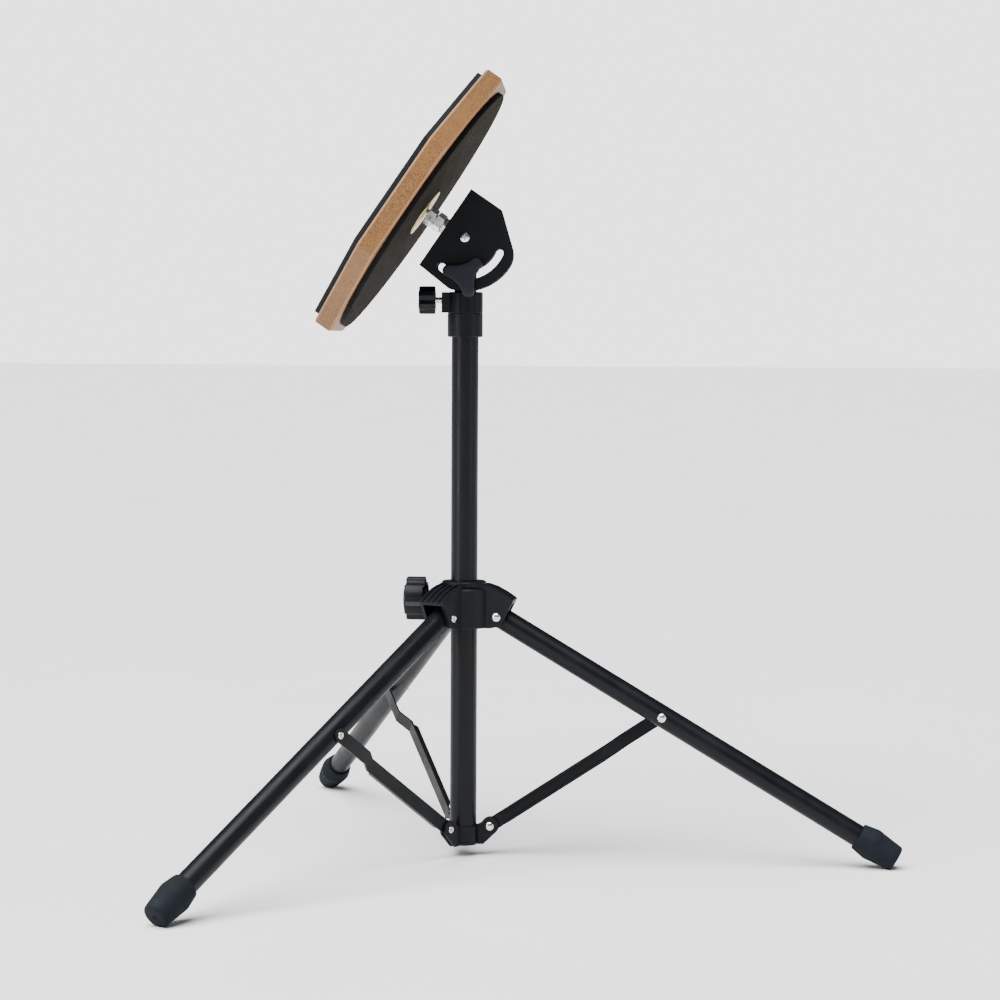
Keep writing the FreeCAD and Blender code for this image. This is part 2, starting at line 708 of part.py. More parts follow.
# ---------------------------------------------------------------- post
def make_post():
    """Inner column with its bush and plugs, and the two bolts that carry the head."""
    top = "pivot_height + post_top_over_pivot"
    pivot = frame_at(0, 0, "pivot_height", TO_MINUS_Y)
    clamp = frame_at(0, 0, "pivot_height - clamp_drop", TO_MINUS_Y)
    hollow = "post_radius - post_wall"
    pipe = tube("post_pipe", "post_radius", hollow, "post_bottom", top)
    post = cut("post_body", pipe,
               rod("post_pivot_bore", "bolt_radius", "-20", "20", pivot),
               rod("post_clamp_bore", "bolt_radius", "-20", "20", clamp))
    name_piece(post, "post_tube")
    bush = tube("guide_bush_body", "column_radius - column_wall - running", "post_radius + running",
                "post_bottom", "post_bottom + bush_length")
    name_piece(bush, "guide_bush")
    stop = turned("post_stop_body", [
        ("0", "post_bottom - 3"),
        ("column_radius - column_wall - 0.4", "post_bottom - 3"),
        ("column_radius - column_wall - 0.4", "post_bottom - running"),
        (hollow + " - running", "post_bottom - running"),
        (hollow + " - running", "post_bottom + 14"),
        (hollow + " - 2", "post_bottom + 14"),
        (hollow + " - 2", "post_bottom"),
        ("0", "post_bottom"),
    ])
    name_piece(stop, "post_stop")
    core = cut("post_core_body",
               turned("post_core_blank", [
                   ("0", "pivot_height - clamp_drop - 10"),
                   (hollow + " - running", "pivot_height - clamp_drop - 10"),
                   (hollow + " - running", top),
                   ("post_radius - 0.2", top),
                   ("post_radius - 1.2", top + " + 1.2"),
                   ("0", top + " + 1.2"),
               ]),
               rod("core_pivot_bore", "bolt_radius", "-20", "20", pivot),
               rod("core_clamp_bore", "bolt_radius", "-20", "20", clamp))
    name_piece(core, "post_core")

    plate = "(plate_gap_half + plate_wall)"
    pivot_bolt = cut("pivot_bolt_body",
                     turned("pivot_bolt_blank", [
                         ("0", "-%s - 6.2" % plate),
                         ("bolt_radius - 0.5", "-%s - 6.2" % plate),
                         ("bolt_radius", "-%s - 5.7" % plate),
                         ("bolt_radius", plate + " + gap"),
                         ("bolt_head_radius", plate + " + gap"),
                         ("bolt_head_radius", plate + " + 1.6"),
                         ("4.2", plate + " + 2.6"),
                         ("2.4", plate + " + 3.1"),
                         ("0", plate + " + 3.2"),
                     ], pivot),
                     block("recess_long", ("-2.3", "2.3"), ("-0.5", "0.5"),
                           (plate + " + 1.2", plate + " + 4"), pivot),
                     block("recess_cross", ("-0.5", "0.5"), ("-2.3", "2.3"),
                           (plate + " + 1.2", plate + " + 4"), pivot))
    name_piece(pivot_bolt, "pivot_bolt")
    nut = cut("pivot_nut_body",
              hex_bar("pivot_nut_bar", "pivot_nut_across", "-%s - 5.3" % plate, "-%s - gap" % plate, pivot),
              rod("pivot_nut_bore", "bolt_radius", "-30", "-5", pivot))
    name_piece(nut, "pivot_nut")
    clamp_bolt = turned("clamp_bolt_body", [
        ("0", "-%s - 3.6" % plate),
        ("3.4", "-%s - 3.4" % plate),
        ("5.6", "-%s - 2.2" % plate),
        ("6.8", "-%s - 0.9" % plate),
        ("6.8", "-%s - gap" % plate),
        ("bolt_radius", "-%s - gap" % plate),
        ("bolt_radius", plate + " + clamp_bolt_reach"),
        ("0", plate + " + clamp_bolt_reach"),
    ], clamp)
    name_piece(clamp_bolt, "clamp_bolt")
    washer = tube("clamp_washer_body", "7", "bolt_radius", plate + " + gap", plate + " + gap + 1.2", clamp)
    name_piece(washer, "clamp_washer")


def make_wing_knob():
    """Three-lobed clamping knob and its threaded insert."""
    clamp = frame_at(0, 0, "pivot_height - clamp_drop", TO_MINUS_Y)
    start = "(plate_gap_half + plate_wall + gap + 1.4)"
    low = start + " + wing_face_low"
    high = start + " + wing_face_high"
    lobes = [rod("wing_neck", "wing_root_half - 0.2", start, start + " + 5", clamp),
             rod("wing_middle", "wing_middle_radius", low, high, clamp)]
    for index in range(3):
        turn = FreeCAD.Rotation(Z_AXIS, WING_TURN + 120 * index)
        spoke = clamp.multiply(FreeCAD.Placement(ORIGIN, turn))
        lobes.append(prism("wing_spoke_%d" % index, [
            ("0", "-wing_root_half"),
            ("wing_lobe_length", "-wing_tip_half"),
            ("wing_lobe_length", "wing_tip_half"),
            ("0", "wing_root_half"),
        ], low, high, spoke))
        tip = spoke.multiply(frame_at("wing_lobe_length", 0, 0))
        lobes.append(rod("wing_tip_%d" % index, "wing_tip_radius", low, high, tip))
    knob = cut("wing_knob_body", fuse("wing_union", *lobes),
               rod("wing_insert_bore", "wing_insert_radius", start + " - 1", start + " + 8", clamp))
    name_piece(knob, "wing_knob")
    insert = tube("wing_insert_body", "wing_insert_radius - running", "bolt_radius + running",
                  start, start + " + 7.9", clamp)
    name_piece(insert, "wing_insert")


# ---------------------------------------------------------------- head
def is_outer_corner(point, swing):
    """Whether a point is on the bracket's swing circle, away from the pad and above the pivot."""
    local = HEAD.inverse().multVec(point)
    on_circle = abs(math.hypot(local.x, local.z) - swing) < 0.01
    return on_circle and local.x < 0 and local.z > 0


def make_bracket():
    """Folded U bracket: two slotted plates joined by a web that carries the pad's stud."""
    flat = HEAD.multiply(frame_at(turn=TO_MINUS_Y))
    half = "plate_gap_half + plate_wall"
    outline = prism("bracket_outline", [
        ("web_face", "40.8"),
        ("-13.5", "40.8"),
        ("-64.9", "-1.3"),
        ("-64.9", "-51.5"),
        ("web_face", "-45.5"),
    ], "-(%s)" % half, half, flat)
    disc = rod("bracket_swing", "plate_swing_radius", "-30", "30", flat)
    sharp = common("bracket_blank", outline, disc)
    doc.recompute()
    corner = size("plate_swing_radius")
    spots = [
        number + 1
        for number, edge in enumerate(sharp.Shape.Edges)
        if all(abs((vertex.Point - HEAD.Base).dot(Y_AXIS)) > 10 for vertex in edge.Vertexes)
        and len(edge.Vertexes) == 2
        and all(is_outer_corner(vertex.Point, corner) for vertex in edge.Vertexes)
    ]
    blank = doc.addObject("Part::Fillet", "bracket_round")
    blank.Base = sharp
    blank.Edges = [(number, size("plate_corner_radius"), size("plate_corner_radius")) for number in spots]
    sweep = doc.addObject("Part::Cylinder", "slot_outer")
    bind(sweep, Radius="slot_radius + slot_half_width", Height="60", Angle="slot_to - slot_from")
    spin = FreeCAD.Placement(ORIGIN, FreeCAD.Rotation(Z_AXIS, size("slot_from")))
    sweep.Placement = flat.multiply(spin).multiply(frame_at(z="-30"))
    core = rod("slot_inner", "slot_radius - slot_half_width", "-31", "31", flat)
    ends = []
    for index, angle in enumerate((size("slot_from"), size("slot_to"))):
        turn = FreeCAD.Placement(ORIGIN, FreeCAD.Rotation(Z_AXIS, angle))
        spot = flat.multiply(turn).multiply(frame_at("slot_radius", 0, 0))
        ends.append(rod("slot_end_%d" % index, "slot_half_width", "-30", "30", spot))
    slot = fuse("slot_shape", cut("slot_ring", sweep, core), *ends)
    inside = block("bracket_inside", ("-70", "web_face - plate_wall"), ("-60", "60"),
                   ("-plate_gap_half", "plate_gap_half"), flat)
    stud_line = HEAD.multiply(frame_at(0, 0, "stud_offset", TO_PLUS_X))
    bracket = cut("bracket", blank, inside, slot,
                  rod("bracket_pivot_bore", "bolt_radius + running", "-30", "30", flat),
                  rod("bracket_stud_bore", "stud_radius", "web_face - 10", "web_face + 10", stud_line))
    name_piece(bracket, "tilt_bracket")
    return stud_line


def make_stud(line):
    """Stud bolt with the washers and nuts between bracket and pad."""
    stud = turned("pad_stud_body", [
        ("0", "web_face - plate_wall - 2.8"),
        ("6.4", "web_face - plate_wall - 2.8"),
        ("7", "web_face - plate_wall - 2.2"),
        ("7", "web_face - plate_wall"),
        ("stud_radius", "web_face - plate_wall"),
        ("stud_radius", "board_back + insert_depth - 2"),
        ("0", "board_back + insert_depth - 2"),
    ], line)
    name_piece(stud, "pad_stud")
    level = "web_face"
    rings = (("stud_washer", "8.4", "1.4"), ("lock_washer", "7.6", "1.5"), ("thin_washer", "8.2", "0.8"))
    for node, radius, thickness in rings:
        high = "%s + %s" % (level, thickness)
        name_piece(tube(node + "_body", radius, "stud_radius + running", level, high, line), node)
        level = high
    across = "stud_nut_across"
    for node, low in (("stud_nut", level), ("pad_nut", level + " + stud_nut_thickness + stud_nut_gap")):
        high = low + " + stud_nut_thickness"
        dome = turned(node + "_bevel", [
            ("0", low),
            ("%s * 0.5" % across, low),
            ("%s * 0.58" % across, low + " + 0.7"),
            ("%s * 0.58" % across, high + " - 0.7"),
            ("%s * 0.5" % across, high),
            ("0", high),
        ], line)
        bar = hex_bar(node + "_bar", across, low, high, line)
        nut = cut(node + "_body", common(node + "_blank", bar, dome),
                  rod(node + "_bore", "stud_radius", low + " - 1", high + " + 1", line))
        name_piece(nut, node)


def octagon(flat_radius):
    """Corners of a regular octagon with flats square to the axes."""
    flat = "(%s)" % flat_radius
    side = "%s * tan(22.5)" % flat
    return [(flat, side), (side, flat), ("-" + side, flat), ("-" + flat, side),
            ("-" + flat, "-" + side), ("-" + side, "-" + flat), (side, "-" + flat), (flat, "-" + side)]


def make_pad(line):
    """Board, playing face, back pad, and the insert that the stud screws into."""
    low = "board_back"
    high = "board_back + board_thickness"
    board_body = prism("board_body", octagon("board_flat_radius"), low, high, line)
    doc.recompute()
    board = board_body.Tip
    rims = [
        "Edge%d" % (number + 1)
        for number, edge in enumerate(board.Shape.Edges)
        if abs(edge.Vertexes[0].Point.z - edge.Vertexes[-1].Point.z) < 0.01
    ]
    bevel = board_body.newObject("PartDesign::Chamfer", "board_bevel")
    bevel.Base = (board, rims)
    bind(bevel, Size="board_chamfer")
    board_body.Tip = bevel
    bore = rod("board_bore", "insert_radius + running", low + " - 1", low + " + insert_depth", line)
    name_piece(cut("board", board_body, bore), "pad_board")

    face = prism("strike_face_body", octagon("board_flat_radius - face_inset"), high,
                 high + " + face_thickness", line)
    name_piece(face, "strike_face")
    back = tube("back_pad_body", "back_radius", "insert_radius + running", low + " - back_thickness",
                low, line)
    name_piece(back, "back_pad")
    rest = "(board_back - back_thickness)"
    insert = turned("stud_insert_body", [
        ("stud_radius", rest + " - flange_thickness"),
        ("flange_radius - 0.5", rest + " - flange_thickness"),
        ("flange_radius", rest + " - flange_thickness + 0.5"),
        ("flange_radius", rest),
        ("insert_radius", rest),
        ("insert_radius", low + " + insert_depth - 0.5"),
        ("stud_radius", low + " + insert_depth - 0.5"),
    ], line)
    name_piece(insert, "stud_insert")


# ---------------------------------------------------------------- build, check, write
def build():
    """Make every sub-part."""
    make_column()
    make_collar()
    make_hub()
    for key in LEG_AZIMUTHS:
        make_leg(key)
        make_strut(key)
    make_post()
    make_wing_knob()
    stud_line = make_bracket()
    make_stud(stud_line)
    make_pad(stud_line)
    doc.recompute()


def check():
    """Stop if any object failed or any sub-part has no valid solid."""
    failed = [item.Name for item in doc.Objects if {"Invalid", "Error"} & set(item.State)]
    if failed:
        raise RuntimeError("failed objects: %s" % failed)
    for piece in subparts:
        shape = piece.Shape
        if shape.isNull() or not shape.isValid() or not shape.Solids:
            raise RuntimeError("bad shape: %s" % piece.Label)
        if min(solid.Volume for solid in shape.Solids) <= 0:
            raise RuntimeError("empty solid: %s" % piece.Label)


def write():
    """Write each sub-part to its own STEP file."""
    os.makedirs("parts", exist_ok=True)
    for piece in subparts:
        piece.Shape.exportStep("parts/%s.step" % piece.Label)
        print("%-18s %d solid %10.1f mm3" % (piece.Label, len(piece.Shape.Solids), piece.Shape.Volume))


build()
check()
write()
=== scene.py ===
"""Looks of an octagonal drum practice pad on its folding tripod stand.

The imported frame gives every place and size. Each sub-assembly below is a class that
builds its own meshes at rest and dresses them; each finish is a small frozen dataclass.
"""
import json
import logging
import math
from dataclasses import dataclass
from enum import Enum
from typing import Callable, Iterable, Optional, Sequence, Union

import bpy
from mathutils import Matrix, Vector


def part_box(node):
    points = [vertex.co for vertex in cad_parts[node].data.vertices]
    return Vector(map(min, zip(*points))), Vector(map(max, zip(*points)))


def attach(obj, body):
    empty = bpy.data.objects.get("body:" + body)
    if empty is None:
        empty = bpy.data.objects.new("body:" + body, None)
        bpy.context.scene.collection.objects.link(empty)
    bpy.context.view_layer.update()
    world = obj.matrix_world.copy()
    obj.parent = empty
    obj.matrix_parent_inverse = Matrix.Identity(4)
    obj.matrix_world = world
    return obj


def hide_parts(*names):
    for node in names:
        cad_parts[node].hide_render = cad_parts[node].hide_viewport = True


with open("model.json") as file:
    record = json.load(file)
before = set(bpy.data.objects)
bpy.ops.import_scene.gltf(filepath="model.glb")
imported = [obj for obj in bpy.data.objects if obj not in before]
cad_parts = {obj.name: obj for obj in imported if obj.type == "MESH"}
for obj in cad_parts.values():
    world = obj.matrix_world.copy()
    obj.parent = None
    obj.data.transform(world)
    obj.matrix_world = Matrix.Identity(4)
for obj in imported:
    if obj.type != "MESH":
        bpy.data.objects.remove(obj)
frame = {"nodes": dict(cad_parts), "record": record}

LOG = logging.getLogger("practice_pad")
MM = 0.001
UP = Vector((0, 0, 1))
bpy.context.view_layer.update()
JOINTS = {joint["name"]: joint for joint in frame["record"]["behaviour"]["joints"]}
Point = tuple[float, float]


# ------------------------------------------------------------------ bench work
def deselect() -> None:
    """Leave object mode with nothing selected."""
    if bpy.context.mode != "OBJECT":
        bpy.ops.object.mode_set(mode="OBJECT")
    bpy.ops.object.select_all(action="DESELECT")


def activate(piece: bpy.types.Object) -> None:
    """Select one piece and make it active.

    Args:
        piece: the object to work on.
    """
    deselect()
    piece.select_set(True)
    bpy.context.view_layer.objects.active = piece


def aim(origin: Vector, direction: Vector, across: Vector = Vector((0, 1, 0))) -> Matrix:
    """Frame whose local Z points along a direction.

    Args:
        origin: the frame's origin, in metres.
        direction: where local Z points.
        across: a direction close to local Y.

    Returns:
        A 4x4 matrix from local to row coordinates.
    """
    z = direction.normalized()
    x = across.cross(z).normalized()
    y = z.cross(x)
    turn = Matrix((x, y, z)).transposed().to_4x4()
    return Matrix.Translation(origin) @ turn


def settle(piece: bpy.types.Object, place: Matrix) -> bpy.types.Object:
    """Put a piece where it belongs, with its place in its mesh.

    Args:
        piece: an object built around its own origin.
        place: local to row coordinates.

    Returns:
        The same object, unturned at the origin.
    """
    deselect()
    piece.data.transform(place @ piece.matrix_world)
    piece.matrix_world = Matrix.Identity(4)
    return piece


def finish_mesh(piece: bpy.types.Object, angle: float = 35.0) -> bpy.types.Object:
    """Merge doubles, point faces outwards and smooth by angle.

    Args:
        piece: the mesh to close.
        angle: edges sharper than this stay sharp, in degrees.

    Returns:
        The same object.
    """
    activate(piece)
    bpy.ops.object.mode_set(mode="EDIT")
    bpy.ops.mesh.select_all(action="SELECT")
    bpy.ops.mesh.remove_doubles(threshold=1e-6)
    bpy.ops.mesh.normals_make_consistent(inside=False)
    bpy.ops.object.mode_set(mode="OBJECT")
    bpy.ops.object.shade_smooth_by_angle(angle=math.radians(angle))
    return piece


def apply_bevel(piece: bpy.types.Object, width: float, segments: int = 2, angle: float = 30.0) -> None:
    """Round a piece's sharp edges.

    Args:
        piece: the mesh.
        width: bevel width in millimetres.
        segments: steps across the round.
        angle: edges sharper than this are rounded, in degrees.
    """
    activate(piece)
    bevel = piece.modifiers.new("round", "BEVEL")
    bevel.width = width * MM
    bevel.segments = segments
    bevel.limit_method = "ANGLE"
    bevel.angle_limit = math.radians(angle)
    bevel.use_clamp_overlap = True
    bevel.miter_outer = "MITER_ARC"
    bpy.ops.object.modifier_apply(modifier=bevel.name)


def turn_shape(name: str, profile: Sequence[Point], steps: int = 64) -> bpy.types.Object:
    """Turn a closed profile about local Z.

    Args:
        name: the piece's name.
        profile: corners as (radius, height) in millimetres; ends on the axis are closed.
        steps: facets round the axis.

    Returns:
        A mesh object about its own origin.
    """
    deselect()
    bpy.ops.mesh.primitive_plane_add(size=MM)
    piece = bpy.context.active_object
    piece.name = name
    bpy.ops.object.mode_set(mode="EDIT")
    bpy.ops.mesh.merge(type="CENTER")
    radius, height = profile[0]
    bpy.ops.transform.translate(value=(radius * MM, 0, height * MM))
    for (r0, z0), (r1, z1) in zip(profile, profile[1:]):
        step = ((r1 - r0) * MM, 0, (z1 - z0) * MM)
        bpy.ops.mesh.extrude_region_move(TRANSFORM_OT_translate={"value": step})
    bpy.ops.mesh.select_all(action="SELECT")
    bpy.ops.mesh.spin(steps=steps, angle=2 * math.pi, center=(0, 0, 0), axis=(0, 0, 1))
    bpy.ops.object.mode_set(mode="OBJECT")
    return finish_mesh(piece)


def ring_profile(outer: Sequence[Point], inner: Sequence[Point]) -> list[Point]:
    """Closed profile of a hollow turned piece.

    Args:
        outer: corners of the outside, from low to high.
        inner: corners of the inside, from high to low.

    Returns:
        One closed run of corners.
    """
    return [*outer, *inner, outer[0]]


def arc(centre: Point, radius: float, start: float, end: float, steps: int = 5) -> list[Point]:
    """Corners of a round stretch of a profile.

    Args:
        centre: the arc's centre, in millimetres.
        radius: its radius.
        start: first angle in degrees, 0 outward and 90 up.
        end: last angle.
        steps: segments along it.

    Returns:
        Points from start to end.
    """
    angles = [math.radians(start + (end - start) * i / steps) for i in range(steps + 1)]
    return [(centre[0] + radius * math.cos(a), centre[1] + radius * math.sin(a)) for a in angles]


def reshape(piece: bpy.types.Object, move: Callable[[Vector], Vector]) -> None:
    """Move every vertex of a piece in its own frame.

    Args:
        piece: the mesh.
        move: new place of a vertex from its old one, in metres.
    """
    for vertex in piece.data.vertices:
        vertex.co = move(vertex.co)


def refined_copy(node: str, bevel: float, segments: int = 2, angle: float = 30.0) -> bpy.types.Object:
    """Rounded copy of a frame node whose shape is already right.

    Args:
        node: the frame's node.
        bevel: edge radius in millimetres.
        segments: steps across each round.
        angle: edges sharper than this are rounded, in degrees.

    Returns:
        A closed mesh with faces joined where they are flat.
    """
    deselect()
    source = frame["nodes"][node]
    piece = source.copy()
    piece.data = source.data.copy()
    piece.parent = None
    piece.matrix_world = Matrix.Identity(4)
    bpy.context.collection.objects.link(piece)
    piece.name = node + "_fine"
    activate(piece)
    bpy.ops.object.mode_set(mode="EDIT")
    bpy.ops.mesh.select_all(action="SELECT")
    bpy.ops.mesh.remove_doubles(threshold=2e-6)
    bpy.ops.mesh.dissolve_limited(angle_limit=math.radians(1.0))
    bpy.ops.object.mode_set(mode="OBJECT")
    piece.data.materials.clear()
    apply_bevel(piece, bevel, segments, angle)
    bpy.ops.object.shade_smooth_by_angle(angle=math.radians(50))
    flat = piece.modifiers.new("flat_faces", "WEIGHTED_NORMAL")
    flat.keep_sharp = True
    flat.weight = 100
    bpy.ops.object.modifier_apply(modifier=flat.name)
    return piece


# ------------------------------------------------------------------ shader desks
Colour = tuple[float, float, float]
Fed = Union[bpy.types.NodeSocket, float, Sequence[float]]


class Desk:
    """A node tree, with short calls for the nodes that the effects and finishes use."""

    def __init__(self, tree: bpy.types.NodeTree) -> None:
        """Work on a tree."""
        self.tree = tree

    def feed(self, target: bpy.types.NodeSocket, value: Fed) -> None:
        """Link a socket, or set it when the value is plain."""
        if isinstance(value, bpy.types.NodeSocket):
            self.tree.links.new(value, target)
        else:
            target.default_value = value

    def node(self, kind: str, **settings: Fed) -> bpy.types.Node:
        """Add a node; settings name its inputs with underscores for spaces."""
        made = self.tree.nodes.new(kind)
        for label, value in settings.items():
            self.feed(made.inputs[label.replace("_", " ")], value)
        return made

    def reckon(self, operation: str, first: Fed, second: Fed) -> bpy.types.NodeSocket:
        """Combine two values."""
        made = self.tree.nodes.new("ShaderNodeMath")
        made.operation = operation
        self.feed(made.inputs[0], first)
        self.feed(made.inputs[1], second)
        return made.outputs[0]

    def spread(self, source: bpy.types.NodeSocket, low: float, high: float,
               start: float = 0.3, end: float = 0.7) -> bpy.types.NodeSocket:
        """Map a mask to a range of values."""
        made = self.node("ShaderNodeMapRange", Value=source, From_Min=start, From_Max=end, To_Min=low, To_Max=high)
        return made.outputs["Result"]

    def noise(self, scale: Fed, detail: Fed = 3.0, roughness: float = 0.5,
              stretch: Optional[Colour] = None, turn: Colour = (0.0, 0.0, 0.0)) -> bpy.types.NodeSocket:
        """Noise on object coordinates, stretched along its axes if asked."""
        place = self.node("ShaderNodeTexCoord").outputs["Object"]
        if stretch is not None:
            place = self.node("ShaderNodeMapping", Vector=place, Scale=stretch, Rotation=turn).outputs["Vector"]
        made = self.node("ShaderNodeTexNoise", Vector=place, Scale=scale, Detail=detail, Roughness=roughness)
        return made.outputs["Fac"]


class EffectDesk(Desk):
    """A shared effect: a shader node group whose sockets are numbers."""

    def __init__(self, name: str, inputs: dict[str, float], *outputs: str) -> None:
        """Make the empty group with its sockets.

        Args:
            name: the group's name.
            inputs: default value of each input.
            outputs: name of each output.
        """
        super().__init__(bpy.data.node_groups.new(name, "ShaderNodeTree"))
        sockets = self.tree.interface
        for label, value in inputs.items():
            sockets.new_socket(name=label, in_out="INPUT", socket_type="NodeSocketFloat").default_value = value
        for label in outputs:
            sockets.new_socket(name=label, in_out="OUTPUT", socket_type="NodeSocketFloat")
        self.given = self.tree.nodes.new("NodeGroupInput").outputs
        self.result = self.tree.nodes.new("NodeGroupOutput").inputs


def fine_grain() -> bpy.types.NodeTree:
    """Fine moulded or sprayed grain, and wide patches of the same material."""
    desk = EffectDesk("fine_grain", {"Scale": 900.0, "Detail": 3.0}, "Height", "Patches")
    desk.feed(desk.result["Height"], desk.noise(desk.given["Scale"], desk.given["Detail"]))
    desk.feed(desk.result["Patches"], desk.noise(desk.reckon("MULTIPLY", desk.given["Scale"], 0.06), 4.0))
    return desk.tree


def handling_scuffs() -> bpy.types.NodeTree:
    """Thin handling scratches: a stretched noise cut to narrow bands."""
    desk = EffectDesk("handling_scuffs", {"Scale": 60.0, "Amount": 0.5}, "Mask")
    lines = desk.noise(desk.given["Scale"], 6.0, 0.7, stretch=(1.0, 0.12, 1.0), turn=(0.5, 0.9, 0.3))
    band = desk.spread(lines, 0.0, 1.0, 0.60, 0.72)
    desk.feed(desk.result["Mask"], desk.reckon("MULTIPLY", band, desk.given["Amount"]))
    return desk.tree


def edge_wear() -> bpy.types.NodeTree:
    """Rubbed outer edges, broken up by noise."""
    desk = EffectDesk("edge_wear", {"Amount": 0.4, "Breakup": 240.0}, "Mask")
    edge = desk.spread(desk.node("ShaderNodeNewGeometry").outputs["Pointiness"], 0.0, 1.0, 0.53, 0.62)
    broken = desk.reckon("MULTIPLY", edge, desk.noise(desk.given["Breakup"], 5.0))
    desk.feed(desk.result["Mask"], desk.reckon("MULTIPLY", broken, desk.given["Amount"]))
    return desk.tree


def settled_dust() -> bpy.types.NodeTree:
    """Light dust that settles on faces that look up."""
    desk = EffectDesk("settled_dust", {"Amount": 0.1}, "Mask")
    split = desk.node("ShaderNodeSeparateXYZ", Vector=desk.node("ShaderNodeNewGeometry").outputs["Normal"])
    specks = desk.reckon("MULTIPLY", desk.spread(split.outputs["Z"], 0.0, 1.0, 0.3, 1.0), desk.noise(90.0, 8.0))
    desk.feed(desk.result["Mask"], desk.reckon("MULTIPLY", specks, desk.given["Amount"]))
    return desk.tree


class Effect(Enum):
    """The shared effects, each made once."""

    GRAIN = fine_grain()
    SCUFFS = handling_scuffs()
    WEAR = edge_wear()
    DUST = settled_dust()


class FinishDesk(Desk):
    """A material's tree round its Principled shader."""

    def __init__(self, name: str) -> None:
        """Start a material."""
        self.material = bpy.data.materials.new(name)
        self.material.use_nodes = True
        super().__init__(self.material.node_tree)

    def effect(self, effect: Effect, **settings: float) -> bpy.types.NodeOutputs:
        """Outputs of a shared effect with this material's own values."""
        made = self.tree.nodes.new("ShaderNodeGroup")
        made.node_tree = effect.value
        for label, value in settings.items():
            made.inputs[label].default_value = value
        return made.outputs

    def blend(self, mask: bpy.types.NodeSocket, low: Fed, high: Fed) -> bpy.types.NodeSocket:
        """Mix two colours by a mask."""
        mix = self.tree.nodes.new("ShaderNodeMix")
        mix.data_type = "RGBA"
        self.feed(mix.inputs[0], mask)
        for socket, value in ((mix.inputs[6], low), (mix.inputs[7], high)):
            self.feed(socket, (*value, 1.0) if isinstance(value, tuple) else value)
        return mix.outputs[2]

    def finish(self, base: Fed, rough: Fed, height: bpy.types.NodeSocket, depth: float,
               gloss: float = 0.5, metallic: float = 0.0) -> bpy.types.Material:
        """Join colour, roughness and bump to the shader.

        Args:
            base: base colour.
            rough: roughness.
            height: height of the bump.
            depth: its full depth in millimetres.
            gloss: specular level.
            metallic: 1 for bare metal.

        Returns:
            The finished material.
        """
        bump = self.node("ShaderNodeBump", Height=height, Strength=1.0, Distance=depth * MM)
        shader = self.tree.nodes["Principled BSDF"].inputs
        self.feed(shader["Base Color"], base)
        self.feed(shader["Roughness"], rough)
        self.feed(shader["Normal"], bump.outputs["Normal"])
        shader["Specular IOR Level"].default_value = gloss
        shader["Metallic"].default_value = metallic
        return self.material


def scaled(colour: Colour, factor: float) -> Colour:
    """A colour made darker or lighter."""
    return tuple(min(1.0, channel * factor) for channel in colour)


# ------------------------------------------------------------------ finishes
@dataclass(frozen=True)
class CoatedSteel:
    """Black baked paint on steel: faint orange peel, rubbed edges, a few scuffs."""

    name: str
    colour: Colour = (0.0028, 0.0037, 0.0054)
    worn: Colour = (0.013, 0.0145, 0.0175)
    dirt: Colour = (0.09, 0.086, 0.08)
    roughness: float = 0.34
    peel: float = 620.0
    peel_depth: float = 0.02
    dust: float = 0.10
    wear: float = 0.35
    gloss: float = 0.2

    def build(self) -> bpy.types.Material:
        """Make the material."""
        desk = FinishDesk(self.name)
        grain = desk.effect(Effect.GRAIN, Scale=self.peel)
        paint = desk.blend(grain["Patches"], scaled(self.colour, 0.78), scaled(self.colour, 1.25))
        paint = desk.blend(desk.effect(Effect.WEAR, Amount=self.wear)["Mask"], paint, self.worn)
        paint = desk.blend(desk.effect(Effect.DUST, Amount=self.dust)["Mask"], paint, self.dirt)
        scuffs = desk.spread(desk.effect(Effect.SCUFFS, Scale=46.0, Amount=0.5)["Mask"], 0.0, 0.08, 0.0, 0.5)
        rough = desk.spread(grain["Patches"], self.roughness - 0.06, self.roughness + 0.08)
        return desk.finish(paint, desk.reckon("ADD", rough, scuffs), grain["Height"], self.peel_depth, self.gloss)


@dataclass(frozen=True)
class MouldedPlastic:
    """Black moulded plastic with a spark-eroded texture and polished edges."""

    name: str
    colour: Colour = (0.0032, 0.0042, 0.006)
    worn: Colour = (0.015, 0.0165, 0.0195)
    dirt: Colour = (0.06, 0.058, 0.054)
    roughness: float = 0.46
    texture: float = 1500.0
    depth: float = 0.03
    dust: float = 0.03
    wear: float = 0.25
    gloss: float = 0.2

    def build(self) -> bpy.types.Material:
        """Make the material."""
        desk = FinishDesk(self.name)
        grain = desk.effect(Effect.GRAIN, Scale=self.texture, Detail=2.0)
        base = desk.blend(grain["Patches"], scaled(self.colour, 0.8), scaled(self.colour, 1.3))
        base = desk.blend(desk.effect(Effect.WEAR, Amount=self.wear)["Mask"], base, self.worn)
        base = desk.blend(desk.effect(Effect.DUST, Amount=self.dust)["Mask"], base, self.dirt)
        rough = desk.spread(grain["Patches"], self.roughness - 0.05, self.roughness + 0.1)
        return desk.finish(base, rough, grain["Height"], self.depth, self.gloss)


